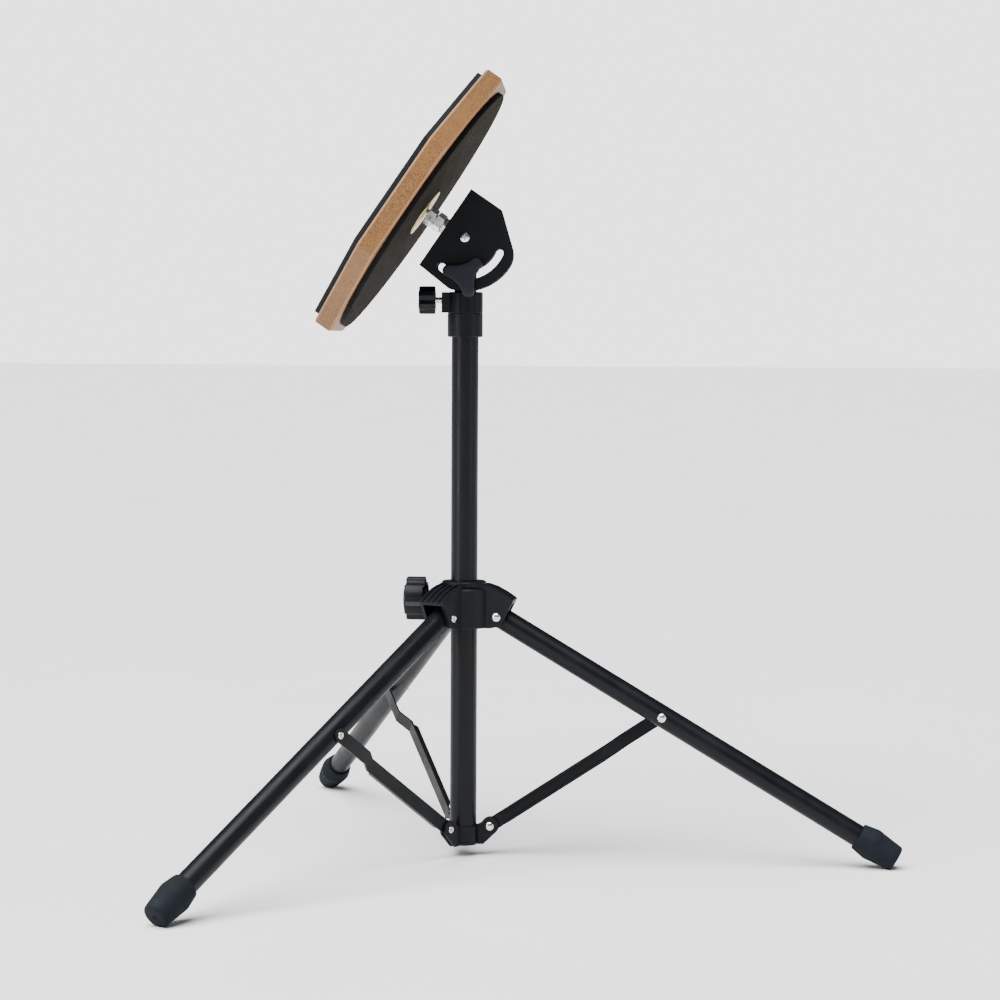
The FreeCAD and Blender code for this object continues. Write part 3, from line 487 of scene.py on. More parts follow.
@dataclass(frozen=True)
class Rubber:
    """Matt rubber: fine moulded skin, chalky bloom, soft wear."""

    name: str
    colour: Colour = (0.0045, 0.0068, 0.0095)
    bloom: Colour = (0.010, 0.0135, 0.0175)
    dirt: Colour = (0.13, 0.125, 0.115)
    roughness: float = 0.78
    texture: float = 1100.0
    depth: float = 0.05
    dust: float = 0.05
    gloss: float = 0.12

    def build(self) -> bpy.types.Material:
        """Make the material."""
        desk = FinishDesk(self.name)
        grain = desk.effect(Effect.GRAIN, Scale=self.texture, Detail=4.0)
        base = desk.blend(desk.spread(desk.noise(38.0, 5.0), 0.0, 0.5), self.colour, self.bloom)
        base = desk.blend(desk.effect(Effect.DUST, Amount=self.dust)["Mask"], base, self.dirt)
        rough = desk.spread(grain["Patches"], self.roughness - 0.08, self.roughness + 0.1)
        return desk.finish(base, rough, grain["Height"], self.depth, self.gloss)


@dataclass(frozen=True)
class FibreBoard:
    """Cut and sealed fibreboard: fine speckle with paler, drawn-out fibres."""

    name: str
    light: Colour = (0.205, 0.088, 0.018)
    dark: Colour = (0.040, 0.0145, 0.0028)
    speck: float = 900.0
    roughness: float = 0.5
    depth: float = 0.06

    def build(self) -> bpy.types.Material:
        """Make the material."""
        desk = FinishDesk(self.name)
        fine = desk.noise(self.speck, 6.0)
        fibres = desk.noise(self.speck * 0.45, 4.0, stretch=(1.0, 1.0, 0.35), turn=(0.6, 0.2, 0.4))
        base = desk.blend(desk.spread(fine, 0.0, 1.0, 0.38, 0.60), self.dark, self.light)
        base = desk.blend(desk.spread(fibres, 0.0, 0.6, 0.42, 0.7), base, scaled(self.light, 0.82))
        base = desk.blend(desk.spread(desk.noise(22.0, 4.0), 0.0, 0.35), base, scaled(self.light, 1.12))
        rough = desk.spread(fine, self.roughness - 0.1, self.roughness + 0.12)
        return desk.finish(base, rough, fine, self.depth)


@dataclass(frozen=True)
class BareMetal:
    """Plated or polished metal: fine tool lines, cloudy plating, dull patches."""

    name: str
    colour: Colour = (0.62, 0.63, 0.64)
    stain: Colour = (0.42, 0.42, 0.41)
    roughness: float = 0.28
    lines: float = 900.0
    depth: float = 0.012

    def build(self) -> bpy.types.Material:
        """Make the material."""
        desk = FinishDesk(self.name)
        cloud = desk.noise(160.0, 5.0)
        tooling = desk.noise(self.lines, 2.0, stretch=(1.0, 1.0, 0.08))
        base = desk.blend(desk.spread(cloud, 0.0, 0.7), self.colour, self.stain)
        scuffs = desk.effect(Effect.SCUFFS, Scale=180.0, Amount=0.6)["Mask"]
        base = desk.blend(scuffs, base, scaled(self.colour, 1.3))
        rough = desk.spread(cloud, self.roughness - 0.06, self.roughness + 0.14)
        return desk.finish(base, rough, tooling, self.depth, metallic=1.0)


class Finish(Enum):
    """Every finish on the stand and pad."""

    TUBE = CoatedSteel("tube_paint", roughness=0.36, wear=0.0, dust=0.02, gloss=0.15)
    SHEET = CoatedSteel("sheet_steel_paint", colour=(0.0022, 0.0030, 0.0045), roughness=0.4, peel=900.0, dust=0.03,
                        gloss=0.13)
    HOUSING = MouldedPlastic("housing_plastic", colour=(0.0026, 0.0036, 0.0054), roughness=0.4, gloss=0.14)
    KNOB = MouldedPlastic("knob_plastic", colour=(0.0032, 0.0044, 0.0066), roughness=0.4, gloss=0.17)
    WING = MouldedPlastic("wing_plastic", colour=(0.0055, 0.0082, 0.0125), roughness=0.5, texture=1100.0, depth=0.05)
    FOOT = Rubber("foot_rubber")
    FACE = Rubber("playing_rubber", colour=(0.012, 0.0125, 0.013), bloom=(0.02, 0.02, 0.021), texture=700.0)
    BACK = Rubber("backing_rubber", colour=(0.0125, 0.0098, 0.0068), bloom=(0.020, 0.0158, 0.011), texture=1300.0,
                  roughness=0.9, dust=0.02, gloss=0.05)
    BACK_RIM = Rubber("backing_rubber_rim", colour=(0.003, 0.0035, 0.004), bloom=(0.006, 0.007, 0.008), dust=0.02)
    BOARD = FibreBoard("board_edge")
    BOARD_TRIM = FibreBoard("board_bevel", light=(0.34, 0.165, 0.066), dark=(0.18, 0.076, 0.026), speck=1300.0)
    ZINC = BareMetal("zinc_plate", colour=(0.86, 0.87, 0.88), stain=(0.66, 0.66, 0.65), roughness=0.2)
    CHROME = BareMetal("rivet_chrome", colour=(0.78, 0.76, 0.73), stain=(0.6, 0.56, 0.5), roughness=0.17)
    BRASS = BareMetal("pale_brass", colour=(0.60, 0.47, 0.22), stain=(0.36, 0.26, 0.11), roughness=0.3)
    NYLON = MouldedPlastic("natural_nylon", colour=(0.45, 0.43, 0.39), roughness=0.5)


_built: dict[Finish, bpy.types.Material] = {}


def material_of(finish: Finish) -> bpy.types.Material:
    """The finish's material, made on first use."""
    if finish not in _built:
        _built[finish] = finish.value.build()
    return _built[finish]


def dress_node(node: str, finish: Finish) -> None:
    """Give a frame node that stays visible its finish.

    Args:
        node: the frame's node.
        finish: the finish of all its faces.
    """
    piece = frame["nodes"][node]
    for index in range(len(piece.material_slots)):
        piece.material_slots[index].material = material_of(finish)


def dress_piece(piece: bpy.types.Object, body: str, finish: Finish, slot: str, *stands_for: str,
                others: Iterable[Finish] = ()) -> bpy.types.Object:
    """Finish a new piece and make it ride with its body.

    Args:
        piece: the mesh, in place.
        body: the frame body it moves with.
        finish: the finish of its first material slot.
        slot: the record's material slot; not used.
        stands_for: frame nodes that it hides.
        others: finishes of further material slots.

    Returns:
        The same object.
    """
    piece.data.materials.clear()
    for each in (finish, *others):
        piece.data.materials.append(material_of(each))
    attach(piece, body)
    if stands_for:
        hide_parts(*stands_for)
    LOG.info("%s rides on %s with %d faces", piece.name, body, len(piece.data.polygons))
    return piece


# ------------------------------------------------------------------ places
def joint_place(name: str) -> Vector:
    """Where a joint's axis passes, in metres."""
    return Vector(JOINTS[name]["pos_m"])


def joint_axis(name: str) -> Vector:
    """Direction of a joint's axis."""
    return Vector(JOINTS[name]["axis"]).normalized()


@dataclass(frozen=True)
class LegFrame:
    """Directions and pivots of one leg: outward, left, and its two hinge points."""

    key: str
    slope: float = 30.4

    @property
    def left(self) -> Vector:
        """Horizontal direction to the leg's left, seen from the column."""
        return joint_axis(f"leg_{self.key}_fold")

    @property
    def outward(self) -> Vector:
        """Horizontal direction away from the column."""
        return self.left.cross(UP).normalized()

    @property
    def along(self) -> Vector:
        """Direction of the leg tube, from hub to foot."""
        angle = math.radians(self.slope)
        return self.outward * math.cos(angle) - UP * math.sin(angle)

    @property
    def tube(self) -> Matrix:
        """Frame at the hub pivot, local Z down the leg and local Y to its left."""
        return aim(joint_place(f"leg_{self.key}_fold"), self.along, self.left)

    def cross(self, place: Vector) -> Matrix:
        """Frame of a rivet through a point, local Z to the leg's left."""
        return aim(place, self.left, self.along)


LEGS = [LegFrame(key) for key in "abc"]
HEAD_NORMAL = Vector((-math.sin(math.radians(55.6)), 0, math.cos(math.radians(55.6))))


# ------------------------------------------------------------------ repeated hardware
@dataclass(frozen=True)
class Rivet:
    """Domed rivet head and rolled hollow end, about local Z, in millimetres."""

    head_radius: float = 4.4
    head_height: float = 2.7
    eyelet_radius: float = 3.4
    eyelet_height: float = 0.9
    hole: float = 1.5

    def head(self, name: str, seat: float) -> bpy.types.Object:
        """Dome below a seat plane, pointing to local -Z."""
        rise = self.head_height
        rim = self.head_radius
        dome = [(rim * math.sin(math.radians(a)), seat - rise * (0.12 + 0.88 * math.cos(math.radians(a))))
                for a in range(0, 91, 9)]
        return turn_shape(name, [*dome, (rim - 0.1, seat), (0, seat)], 40)

    def eyelet(self, name: str, seat: float, depth: float = 3.2) -> bpy.types.Object:
        """Rolled rim above a seat plane with a blind hole, pointing to local +Z."""
        middle = (self.eyelet_radius + self.hole) / 2
        half = (self.eyelet_radius - self.hole) / 2
        roll = [(middle + half * math.cos(math.radians(a)), seat + self.eyelet_height * math.sin(math.radians(a)))
                for a in range(0, 181, 15)]
        shank = self.eyelet_radius - 1.0
        return turn_shape(name, [
            (0, seat - depth - 0.6), (shank, seat - depth - 0.6), (shank, seat - 0.1), (self.eyelet_radius, seat - 0.1),
            *roll, (self.hole, seat - depth), (0, seat - depth)], 40)


def join(name: str, pieces: Sequence[bpy.types.Object]) -> bpy.types.Object:
    """One object from several settled ones."""
    activate(pieces[0])
    for piece in pieces:
        piece.select_set(True)
    bpy.ops.object.join()
    joined = bpy.context.active_object
    joined.name = name
    return joined


def rivet_set(name: str, family: str, rivet: Rivet, seats: Point, shank: Point) -> bpy.types.Object:
    """Three rivets as one piece, one through each leg's or strut's hinge.

    Args:
        name: the piece's name.
        family: "leg" or "strut", whose hinges they are.
        rivet: the rivet's sizes.
        seats: where its head and its hollow end sit, in millimetres to the leg's left.
        shank: radius of its shank, and how far the shank goes up the hollow end.

    Returns:
        The joined pins, in place.
    """
    low, high = seats
    radius, top = shank
    ends = []
    for leg in LEGS:
        place = leg.cross(joint_place(f"{family}_{leg.key}_fold"))
        pin = [(0, low + 0.1), (radius, low + 0.1), (radius, top), (0, top)]
        for end in (rivet.head(name, low), rivet.eyelet(name, high), turn_shape(name, pin, 24)):
            ends.append(settle(end, place))
    return join(name, ends)


@dataclass(frozen=True)
class Thread:
    """Screw thread drawn as ring grooves."""

    radius: float
    pitch: float
    depth: float

    def profile(self, low: float, high: float) -> list[Point]:
        """Corners of the threaded outside from low to high."""
        corners: list[Point] = []
        turns = int((high - low) / self.pitch)
        for index in range(turns):
            base = low + index * self.pitch
            corners.append((self.radius - self.depth, base + 0.1 * self.pitch))
            corners.append((self.radius, base + 0.45 * self.pitch))
            corners.append((self.radius, base + 0.6 * self.pitch))
        corners.append((self.radius - self.depth, base + 0.98 * self.pitch))
        return corners


@dataclass(frozen=True)
class LobedKnob:
    """Grip knob with round dents in its rim and a hollow on its inner side."""

    radius: float
    low: float
    high: float
    dent_radius: float
    rim: float
    bore: float
    web: float = 5.0
    lobes: int = 6

    def outline(self, angle: float) -> float:
        """Rim radius at an angle: a circle bitten by round dents, softly joined."""
        reach = self.radius + self.dent_radius * 0.3
        step = 2 * math.pi / self.lobes
        offset = (angle % step) - step / 2
        across = reach * math.sin(offset)
        if abs(across) >= self.dent_radius:
            return self.radius
        bite = reach * math.cos(offset) - math.sqrt(self.dent_radius ** 2 - across ** 2)
        soft = 1.2
        gap = max(0.0, soft - abs(bite - self.radius)) / soft
        return min(bite, self.radius) - gap * gap * soft / 4

    def squeeze(self, place: Vector) -> Vector:
        """Push a point of the round blank in to the dented outline."""
        reach = math.hypot(place.x, place.y)
        core = self.radius * 0.42 * MM
        if reach <= core + 0.3 * MM:
            return place
        weight = min(1.0, (reach - core) / ((self.radius - self.rim) * MM - core))
        loss = (self.radius - self.outline(math.atan2(place.y, place.x))) * MM * weight
        scale = (reach - loss) / reach
        return Vector((place.x * scale, place.y * scale, place.z))

    def build(self, name: str) -> bpy.types.Object:
        """Make the knob about its own axis, outer face up."""
        top = self.high
        inner = self.radius - self.rim
        floor = top - self.web
        profile = [
            (self.bore, self.low),
            (self.radius * 0.42 - 0.6, self.low), (self.radius * 0.42, self.low + 0.6),
            (self.radius * 0.42, floor - 0.8), (self.radius * 0.42 + 0.8, floor),
            (inner - 1.4, floor), (inner - 0.4, floor - 0.4), (inner, floor - 1.4),
            (inner, self.low + 0.5), (inner + 0.4, self.low),
            (self.radius - 0.7, self.low), (self.radius - 0.2, self.low + 0.2), (self.radius, self.low + 0.8),
            (self.radius, (self.low + top) / 2),
            *arc((self.radius - 1.8, top - 1.8), 1.8, 0, 75, 5),
            (self.radius - 3.4, top), (self.radius * 0.45, top), (self.bore, top), (self.bore, self.low),
        ]
        piece = turn_shape(name, profile, self.lobes * 24)
        reshape(piece, self.squeeze)
        return finish_mesh(piece, 40)


@dataclass(frozen=True)
class WingKnob:
    """Three-lobed clamp knob: one soft outline lofted over a domed body."""

    lobe_length: float = 15.5
    tip_radius: float = 5.6
    root_half: float = 8.2
    neck_radius: float = 8.0
    turn: float = -76.0
    low: float = 15.0
    face: float = 18.4
    high: float = 26.4
    softness: float = 1.75

    def distance(self, x: float, y: float) -> float:
        """Signed distance to the three blended spokes, in millimetres."""
        total = 0.0
        for index in range(3):
            angle = math.radians(self.turn + 120 * index)
            along = x * math.cos(angle) + y * math.sin(angle)
            across = -x * math.sin(angle) + y * math.cos(angle)
            part = min(max(along / self.lobe_length, 0.0), 1.0)
            half = self.root_half + (self.tip_radius - self.root_half) * part
            gap = math.hypot(along - part * self.lobe_length, across) - half
            total += math.exp(-gap / self.softness)
        return -math.log(total) * self.softness

    def outline(self, angle: float) -> float:
        """Radius of the outline at an angle, found by halving."""
        near, far = 2.0, 30.0
        for _ in range(22):
            middle = (near + far) / 2
            if self.distance(middle * math.cos(angle), middle * math.sin(angle)) < 0:
                near = middle
            else:
                far = middle
        return min(near, self.lobe_length + self.tip_radius)

    def build(self, name: str, place: Matrix) -> bpy.types.Object:
        """Make the knob with local Z pointing away from the post."""
        full = self.lobe_length + self.tip_radius
        profile = [
            (4.55, self.low), (self.neck_radius, self.low), (self.neck_radius, self.face - 0.4),
            (self.neck_radius + 0.3, self.face), (full - 1.5, self.face),
            *arc((full - 1.3, self.face + 1.3), 1.3, -80, 0, 4),
            *arc((full - 2.6, self.high - 2.9), 2.6, 0, 80, 6),
            (full - 5, self.high - 0.15), (full * 0.5, self.high), (full * 0.2, self.high - 0.1),
            (0, self.high - 0.1), (0, self.low + 8.0), (4.55, self.low + 8.0), (4.55, self.low),
        ]
        piece = turn_shape(name, profile, 120)
        radii = [self.outline(2 * math.pi * index / 120) for index in range(120)]

        def squeeze(spot: Vector) -> Vector:
            """Pull a point of the round blank in to the lobed outline."""
            reach = math.hypot(spot.x, spot.y)
            core = (self.neck_radius + 0.2) * MM
            if reach <= core:
                return spot
            share = (math.atan2(spot.y, spot.x) / (2 * math.pi)) % 1.0 * 120
            index = int(round(share)) % 120
            weight = (reach - core) / (full * MM - core)
            scale = (reach - (full - radii[index]) * MM * weight) / reach
            return Vector((spot.x * scale, spot.y * scale, spot.z))

        reshape(piece, squeeze)
        settle(piece, place)
        return finish_mesh(piece, 45)


# ------------------------------------------------------------------ stand
@dataclass
class StandColumn:
    """Centre column with its foot bracket, collar and clamp knob."""

    radius: float = 12.7
    wall: float = 1.2
    ear_left: float = 6.1
    ear_right: float = -0.7
    rivet: Rivet = Rivet()

    def build(self) -> None:
        """Make and dress every column piece."""
        self.tube()
        self.foot_bracket()
        self.collar()
        dress_node("column_plug", Finish.HOUSING)
        dress_node("collar_nut", Finish.ZINC)
        dress_node("collar_shoe", Finish.NYLON)

    def tube(self) -> None:
        """Painted tube with soft ends."""
        low, high = (place[2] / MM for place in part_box("column_tube"))
        inner = self.radius - self.wall
        profile = ring_profile(
            [(self.radius - 0.3, low), (self.radius, low + 0.3), (self.radius, high - 0.3), (self.radius - 0.3, high)],
            [(inner + 0.3, high), (inner, high - 0.3), (inner, low + 0.3), (inner + 0.3, low)])
        piece = turn_shape("column_tube_fine", profile, 96)
        dress_piece(piece, "column", Finish.TUBE, "satin_black_tube", "column_tube")

    def foot_bracket(self) -> None:
        """Bracket under the column and its three rivets."""
        bracket = refined_copy("bottom_bracket", 0.5)
        dress_piece(bracket, "column", Finish.HOUSING, "black_plastic", "bottom_bracket")
        rivets = rivet_set("bracket_rivets_fine", "strut", self.rivet, (self.ear_right, self.ear_left), (2.45, 5.0))
        dress_piece(rivets, "column", Finish.CHROME, "bright_rivet", "bracket_rivets")

    def collar(self) -> None:
        """Fluted clamp collar with screw and knob."""
        collar = refined_copy("collar", 0.4)
        dress_piece(collar, "column", Finish.HOUSING, "black_plastic", "collar")
        place = aim(joint_place("collar_knob_turn"), joint_axis("collar_knob_turn"))
        thread = Thread(3.0, 1.0, 0.45)
        screw = turn_shape("collar_screw_fine",
                           [(0, 12.9), (2.2, 12.9), *thread.profile(13.6, 39.0), (2.6, 39.8), (0, 39.8)], 32)
        dress_piece(settle(screw, place), "collar_knob", Finish.ZINC, "zinc_steel", "collar_screw")
        knob = LobedKnob(radius=13.2, low=28.4, high=43.8, dent_radius=3.8, rim=1.9, bore=3.0).build("collar_knob_fine")
        cap = turn_shape("collar_knob_cap", [(0, 39.8), (5.0, 39.8), (5.0, 43.2), (4.5, 43.5), (0, 43.5)], 40)
        knob = join("collar_knob_fine", [settle(knob, place), settle(cap, place)])
        dress_piece(knob, "collar_knob", Finish.KNOB, "knob_plastic", "collar_knob")


@dataclass
class SlidingHub:
    """Hub that slides on the column, with its rivets and clamp knob."""

    half_width: float = 14.5
    rivet: Rivet = Rivet()

    def build(self) -> None:
        """Make and dress every hub piece."""
        hub = refined_copy("hub", 0.55)
        dress_piece(hub, "hub", Finish.HOUSING, "black_plastic", "hub")
        rivets = rivet_set("hub_rivets_fine", "leg", self.rivet, (-self.half_width, self.half_width), (2.5, 14.1))
        dress_piece(rivets, "hub", Finish.CHROME, "bright_rivet", "hub_rivets")
        dress_node("hub_nut", Finish.ZINC)
        dress_node("hub_shoe", Finish.NYLON)
        self.knob()

    def knob(self) -> None:
        """Clamp knob with its screw and stepped cap."""
        place = aim(joint_place("hub_knob_turn"), joint_axis("hub_knob_turn"))
        thread = Thread(3.5, 1.25, 0.55)
        screw = turn_shape("hub_screw_fine",
                           [(0, 15.5), (2.6, 15.5), *thread.profile(16.2, 50.4), (3.0, 51.2), (0, 51.2)], 32)
        dress_piece(settle(screw, place), "hub_knob", Finish.ZINC, "zinc_steel", "hub_screw")
        knob = LobedKnob(radius=20.7, low=37.0, high=55.2, dent_radius=6.0, rim=2.4, bore=3.5).build("hub_knob_fine")
        dress_piece(settle(knob, place), "hub_knob", Finish.KNOB, "knob_plastic", "hub_knob")
        cap = turn_shape("hub_knob_cap_fine", [
            (0, 51.3), (3.4, 51.3), (3.4, 55.2), (11.9, 55.2), (12, 55.4), (12, 56.0),
            *arc((10.9, 55.95), 1.05, 0, 90, 4), (6.2, 57.0), (5.8, 56.6), (0, 56.6)], 64)
        dress_piece(settle(cap, place), "hub_knob", Finish.HOUSING, "black_plastic", "hub_knob_cap")


@dataclass
class Leg:
    """One tubular leg with its plug, foot, rivet and strut."""

    frame: LegFrame
    radius: float = 10.5
    wall: float = 1.2
    length: float = 438.0
    foot_length: float = 41.5
    rivet: Rivet = Rivet()

    def build(self) -> None:
        """Make and dress the leg and its strut."""
        self.tube()
        self.foot()
        self.rivets()
        strut = refined_copy(f"strut_{self.frame.key}", 0.35)
        dress_piece(strut, f"strut_{self.frame.key}", Finish.SHEET, "black_sheet_steel", f"strut_{self.frame.key}")
        dress_node(f"leg_plug_{self.frame.key}", Finish.HOUSING)

    def tube(self) -> None:
        """Painted leg tube."""
        inner = self.radius - self.wall
        low, high = -7.8, self.length - 7.5
        profile = ring_profile(
            [(self.radius - 0.3, low), (self.radius, low + 0.3), (self.radius, high)],
            [(inner, high), (inner, low)])
        piece = turn_shape(f"leg_tube_{self.frame.key}_fine", profile, 80)
        settle(piece, self.frame.tube)
        dress_piece(piece, f"leg_{self.frame.key}", Finish.TUBE, "satin_black_tube", f"leg_tube_{self.frame.key}")

    def foot(self) -> None:
        """Rubber foot: lip, belly, ringed taper, flat end with a dimple."""
        start = self.length - self.foot_length
        taper: list[Point] = []
        first, last = (15.2, start + 15.8), (12.45, self.length - 3.0)
        for index in range(5):
            share = 0.16 + 0.13 * index
            radius = first[0] + (last[0] - first[0]) * share
            height = first[1] + (last[1] - first[1]) * share
            taper += [(radius, height), (radius - 0.28, height + 0.35), (radius - 0.33, height + 0.95),
                      (radius - 0.12, height + 1.3)]
        profile = [
            (self.radius + 0.05, start + 0.5), (self.radius + 0.4, start),
            (12.3, start), (12.75, start + 0.25), (12.95, start + 0.8),
            (15.05, start + 12.2), (15.25, start + 13.2), (15.3, start + 14.0), (15.27, start + 14.8), first,
            *taper, last, (12.25, self.length - 2.0), (11.6, self.length - 0.9), (10.6, self.length - 0.25),
            (9.6, self.length), (2.3, self.length), (1.7, self.length - 0.5), (1.2, self.length - 1.0),
            (0, self.length - 1.0), (0, self.length - 7.5), (self.radius + 0.05, self.length - 7.5),
            (self.radius + 0.05, start + 0.5),
        ]
        piece = turn_shape(f"foot_{self.frame.key}_fine", profile, 72)
        settle(piece, self.frame.tube)
        activate(piece)
        bpy.ops.object.mode_set(mode="EDIT")
        bpy.ops.mesh.select_all(action="SELECT")
        bpy.ops.mesh.bisect(plane_co=(0, 0, 0), plane_no=(0, 0, 1), use_fill=True, clear_inner=True)
        bpy.ops.object.mode_set(mode="OBJECT")
        finish_mesh(piece, 50)
        dress_piece(piece, f"leg_{self.frame.key}", Finish.FOOT, "black_rubber", f"foot_{self.frame.key}")

    def rivets(self) -> None:
        """Dome on the leg's right side and hollow end on the strut."""
        key = self.frame.key
        spot = joint_place(f"leg_{key}_fold") + self.frame.along * 182.5 * MM
        place = self.frame.cross(spot)
        head = self.rivet.head(f"leg_rivet_{key}_fine", -self.radius - 0.2)
        shank = turn_shape("rivet_shank", [(0, -11), (2.5, -11), (2.5, 10.5), (0, 10.5)], 24)
        pin = join(f"leg_rivet_{key}_fine", [settle(head, place), settle(shank, place)])
        dress_piece(pin, f"leg_{key}", Finish.CHROME, "bright_rivet", f"leg_rivet_{key}")
        eyelet = settle(self.rivet.eyelet(f"strut_eyelet_{key}_fine", 12.5), place)
        dress_piece(eyelet, f"strut_{key}", Finish.CHROME, "bright_rivet", f"strut_eyelet_{key}")


@dataclass
class Post:
    """Inner post with its plugs, bolts and the three-lobed knob."""

    def build(self) -> None:
        """Make and dress every post piece."""
        post = refined_copy("post_tube", 0.25)
        dress_piece(post, "post", Finish.TUBE, "satin_black_tube", "post_tube")
        core = refined_copy("post_core", 0.3)
        dress_piece(core, "post", Finish.HOUSING, "black_plastic", "post_core")
        for node in ("guide_bush", "post_stop"):
            dress_node(node, Finish.NYLON)
        for node in ("pivot_bolt", "pivot_nut", "clamp_bolt", "clamp_washer"):
            dress_piece(refined_copy(node, 0.2), "post", Finish.ZINC, "zinc_steel", node)
        place = aim(joint_place("wing_knob_turn") - joint_axis("wing_knob_turn") * 20 * MM,
                    joint_axis("wing_knob_turn"), UP)
        knob = WingKnob().build("wing_knob_fine", place)
        dress_piece(knob, "wing_knob", Finish.WING, "knob_plastic", "wing_knob")
        dress_node("wing_insert", Finish.BRASS)


# ------------------------------------------------------------------ pad
@dataclass
class TiltHead:
    """Tilt bracket with its stud, nuts and the octagonal pad."""

    stud_offset: float = -2.0

    @property
    def line(self) -> Matrix:
        """Frame on the stud's line, local Z towards the pad."""
        up = Vector((HEAD_NORMAL.z, 0, -HEAD_NORMAL.x))
        return aim(joint_place("pad_tilt") + up * self.stud_offset * MM, HEAD_NORMAL)

    def build(self) -> None:
        """Make and dress every piece of the head."""
        bracket = refined_copy("tilt_bracket", 0.35)
        dress_piece(bracket, "head", Finish.SHEET, "black_sheet_steel", "tilt_bracket")
        for node, round_edge in (("stud_washer", 0.25), ("lock_washer", 0.3), ("thin_washer", 0.2),
                                 ("stud_nut", 0.25), ("pad_nut", 0.25)):
            dress_piece(refined_copy(node, round_edge), "head", Finish.ZINC, "zinc_steel", node)
        self.stud()
        self.insert()
        self.back()
        self.board()
        self.face()

    def stud(self) -> None:
        """Threaded stud through the bracket's web."""
        thread = Thread(5.0, 1.5, 0.75)
        profile = [(0, 15.7), (6.2, 15.7), (6.8, 15.95), (7.0, 16.4), (7.0, 18.4), (5.0, 18.5), (5.0, 22.0),
                   *thread.profile(22.5, 62.0), (0, 62.6)]
        stud = turn_shape("pad_stud_fine", profile, 40)
        dress_piece(settle(stud, self.line), "head", Finish.ZINC, "zinc_steel", "pad_stud")

    def insert(self) -> None:
        """Brass insert with a ringed flange."""
        rings = []
        for radius in (21.8, 15.6, 10.4):
            rings += [(radius, 44.4), (radius - 0.25, 44.65), (radius - 0.75, 44.65), (radius - 1.0, 44.4)]
        profile = [(5.05, 44.7), (5.4, 44.4), *reversed(rings), (23.5, 44.4), (23.9, 44.6), (24.0, 44.9),
                   (24.0, 45.6), (6.5, 45.6), (6.5, 64.1), (5.05, 64.1), (5.05, 44.7)]
        insert = turn_shape("stud_insert_fine", profile, 96)
        dress_piece(settle(insert, self.line), "head", Finish.BRASS, "brass_insert", "stud_insert")

    def back(self) -> None:
        """Round backing pad: mottled face, darker rim."""
        profile = [
            (6.6, 45.6), (24.1, 45.6), (129.4, 45.6), *arc((130.6, 47.0), 1.4, -90, 0, 5),
            (132.0, 50.6), (6.6, 50.6), (6.6, 45.6),
        ]
        back = turn_shape("back_pad_fine", profile, 192)
        settle(back, self.line)
        dress_piece(back, "head", Finish.BACK, "back_rubber", "back_pad", others=(Finish.BACK_RIM,))
        for face in back.data.polygons:
            face.material_index = int(abs(face.normal.dot(HEAD_NORMAL)) < 0.85)

    def board(self) -> None:
        """Fibreboard octagon with pale bevels."""
        board = refined_copy("pad_board", 0.25)
        dress_piece(board, "head", Finish.BOARD, "board_wood", "pad_board", others=(Finish.BOARD_TRIM,))
        for face in board.data.polygons:
            lean = abs(face.normal.dot(HEAD_NORMAL))
            face.material_index = int(0.35 < lean < 0.95)

    def face(self) -> None:
        """Playing rubber on the front."""
        face = refined_copy("strike_face", 0.8, segments=3)
        dress_piece(face, "head", Finish.FACE, "pad_rubber", "strike_face")


# ------------------------------------------------------------------ studio
@dataclass(frozen=True)
class Softbox:
    """Rectangular area light aimed at a point."""

    name: str
    place: tuple[float, float, float]
    target: tuple[float, float, float]
    size: tuple[float, float]
    power: float
    colour: Colour = (1.0, 1.0, 1.0)

    def build(self) -> None:
        """Add the light."""
        data = bpy.data.lights.new(self.name, "AREA")
        data.shape = "RECTANGLE"
        data.size, data.size_y = self.size
        data.energy = self.power
        data.color = self.colour
        light = bpy.data.objects.new(self.name, data)
        bpy.context.collection.objects.link(light)
        direction = Vector(self.target) - Vector(self.place)
        light.location = self.place
        light.rotation_euler = direction.to_track_quat("-Z", "Y").to_euler()


@dataclass(frozen=True)
class WideSun:
    """Very soft distant light that evens out the floor."""

    direction: tuple[float, float, float]
    strength: float
    spread: float

    def build(self) -> None:
        """Add the light."""
        data = bpy.data.lights.new("wide_sun", "SUN")
        data.energy = self.strength
        data.angle = math.radians(self.spread)
        light = bpy.data.objects.new("wide_sun", data)
        bpy.context.collection.objects.link(light)
        light.rotation_euler = Vector(self.direction).to_track_quat("-Z", "Y").to_euler()


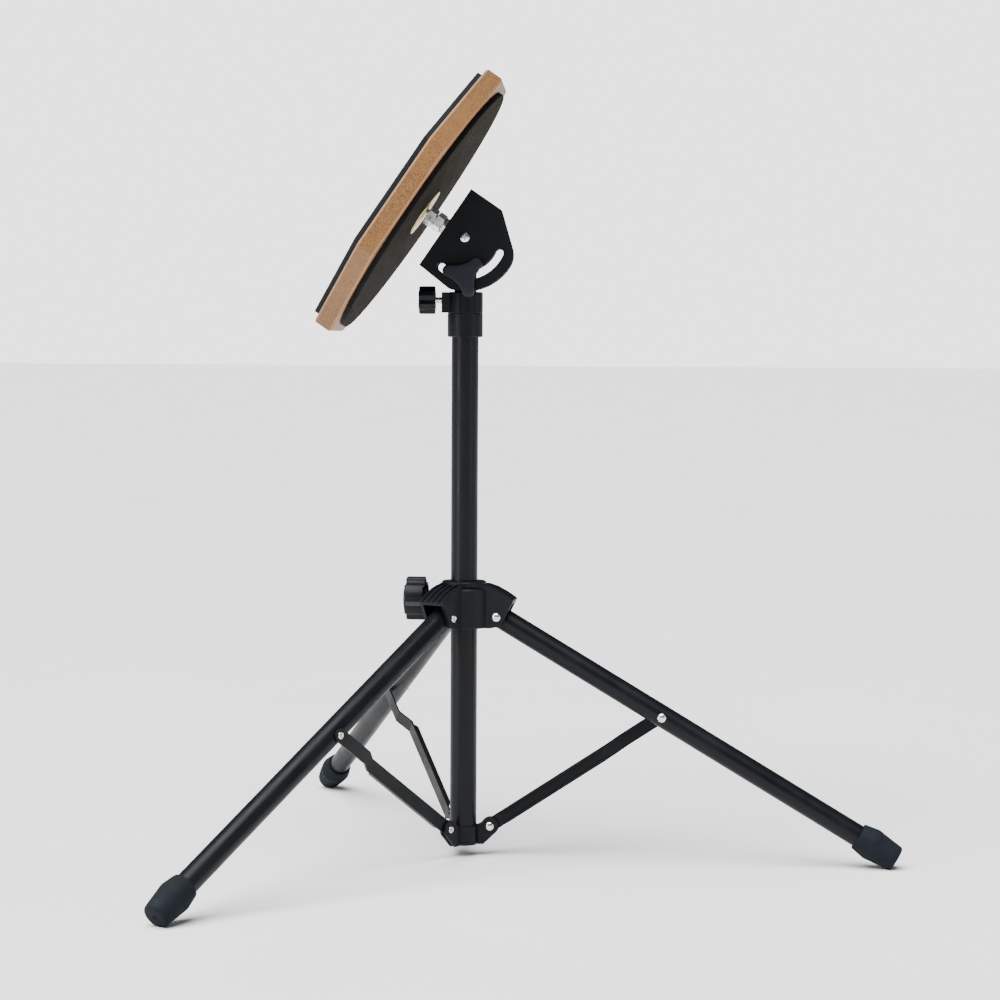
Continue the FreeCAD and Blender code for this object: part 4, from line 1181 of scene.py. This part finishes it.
class Studio:
    """Pale floor, soft light and the camera."""

    lights = (
        WideSun((0.22, 0.35, -1.0), 9.0, 60.0),
        Softbox("key", (-2.0, -1.5, 0.8), (0, 0, 0.4), (0.5, 1.9), 36.0),
        Softbox("fill", (2.2, -1.2, 0.9), (0, 0, 0.35), (0.3, 1.8), 9.0),
    )
    horizon = 2.75
    shade = 0.12

    def build(self) -> None:
        """Make the room, lights and camera."""
        self.floor()
        for light in self.lights:
            light.build()
        self.air()
        self.camera()

    def air(self) -> None:
        """Bright to the eye, dim to the surfaces."""
        world = bpy.data.worlds.new("studio_air")
        world.use_nodes = True
        tree = world.node_tree
        air = tree.nodes["Background"]
        air.inputs["Color"].default_value = (1.0, 1.0, 1.0, 1.0)
        path = tree.nodes.new("ShaderNodeLightPath")
        level = tree.nodes.new("ShaderNodeMapRange")
        level.inputs["To Min"].default_value = self.shade
        level.inputs["To Max"].default_value = self.horizon
        tree.links.new(path.outputs["Is Camera Ray"], level.inputs["Value"])
        tree.links.new(level.outputs["Result"], air.inputs["Strength"])
        bpy.context.scene.world = world

    def floor(self) -> None:
        """Wide pale floor."""
        deselect()
        bpy.ops.mesh.primitive_plane_add(size=80, location=(0, 0, 0))
        floor = bpy.context.active_object
        floor.name = "studio_floor"
        desk = FinishDesk("floor_paint")
        speck = desk.noise(3.0, 6.0)
        base = desk.blend(speck, (0.83, 0.83, 0.83), (0.87, 0.87, 0.87))
        rough = desk.spread(speck, 0.75, 0.9)
        floor.data.materials.append(desk.finish(base, rough, desk.noise(180.0, 3.0), 0.05))

    def camera(self) -> None:
        """Long lens a little above the hub, turned slightly to the left."""
        data = bpy.data.cameras.new("studio_camera")
        data.lens = 95.96
        data.sensor_width = 36.0
        camera = bpy.data.objects.new("studio_camera", data)
        bpy.context.collection.objects.link(camera)
        camera.matrix_world = (
            Matrix.Translation((0.1246, -2.5253, 0.4975))
            @ Matrix.Rotation(math.radians(2.06), 4, "Z")
            @ Matrix.Rotation(math.radians(86.45), 4, "X")
            @ Matrix.Rotation(math.radians(0.29), 4, "Z"))
        bpy.context.scene.camera = camera


def main() -> None:
    """Build, dress and light the practice pad."""
    logging.basicConfig(level=logging.INFO, format="%(name)s: %(message)s")
    StandColumn().build()
    SlidingHub().build()
    for frame_of_leg in LEGS:
        Leg(frame_of_leg).build()
    Post().build()
    TiltHead().build()
    Studio().build()


if __name__ == "__main__":
    main()
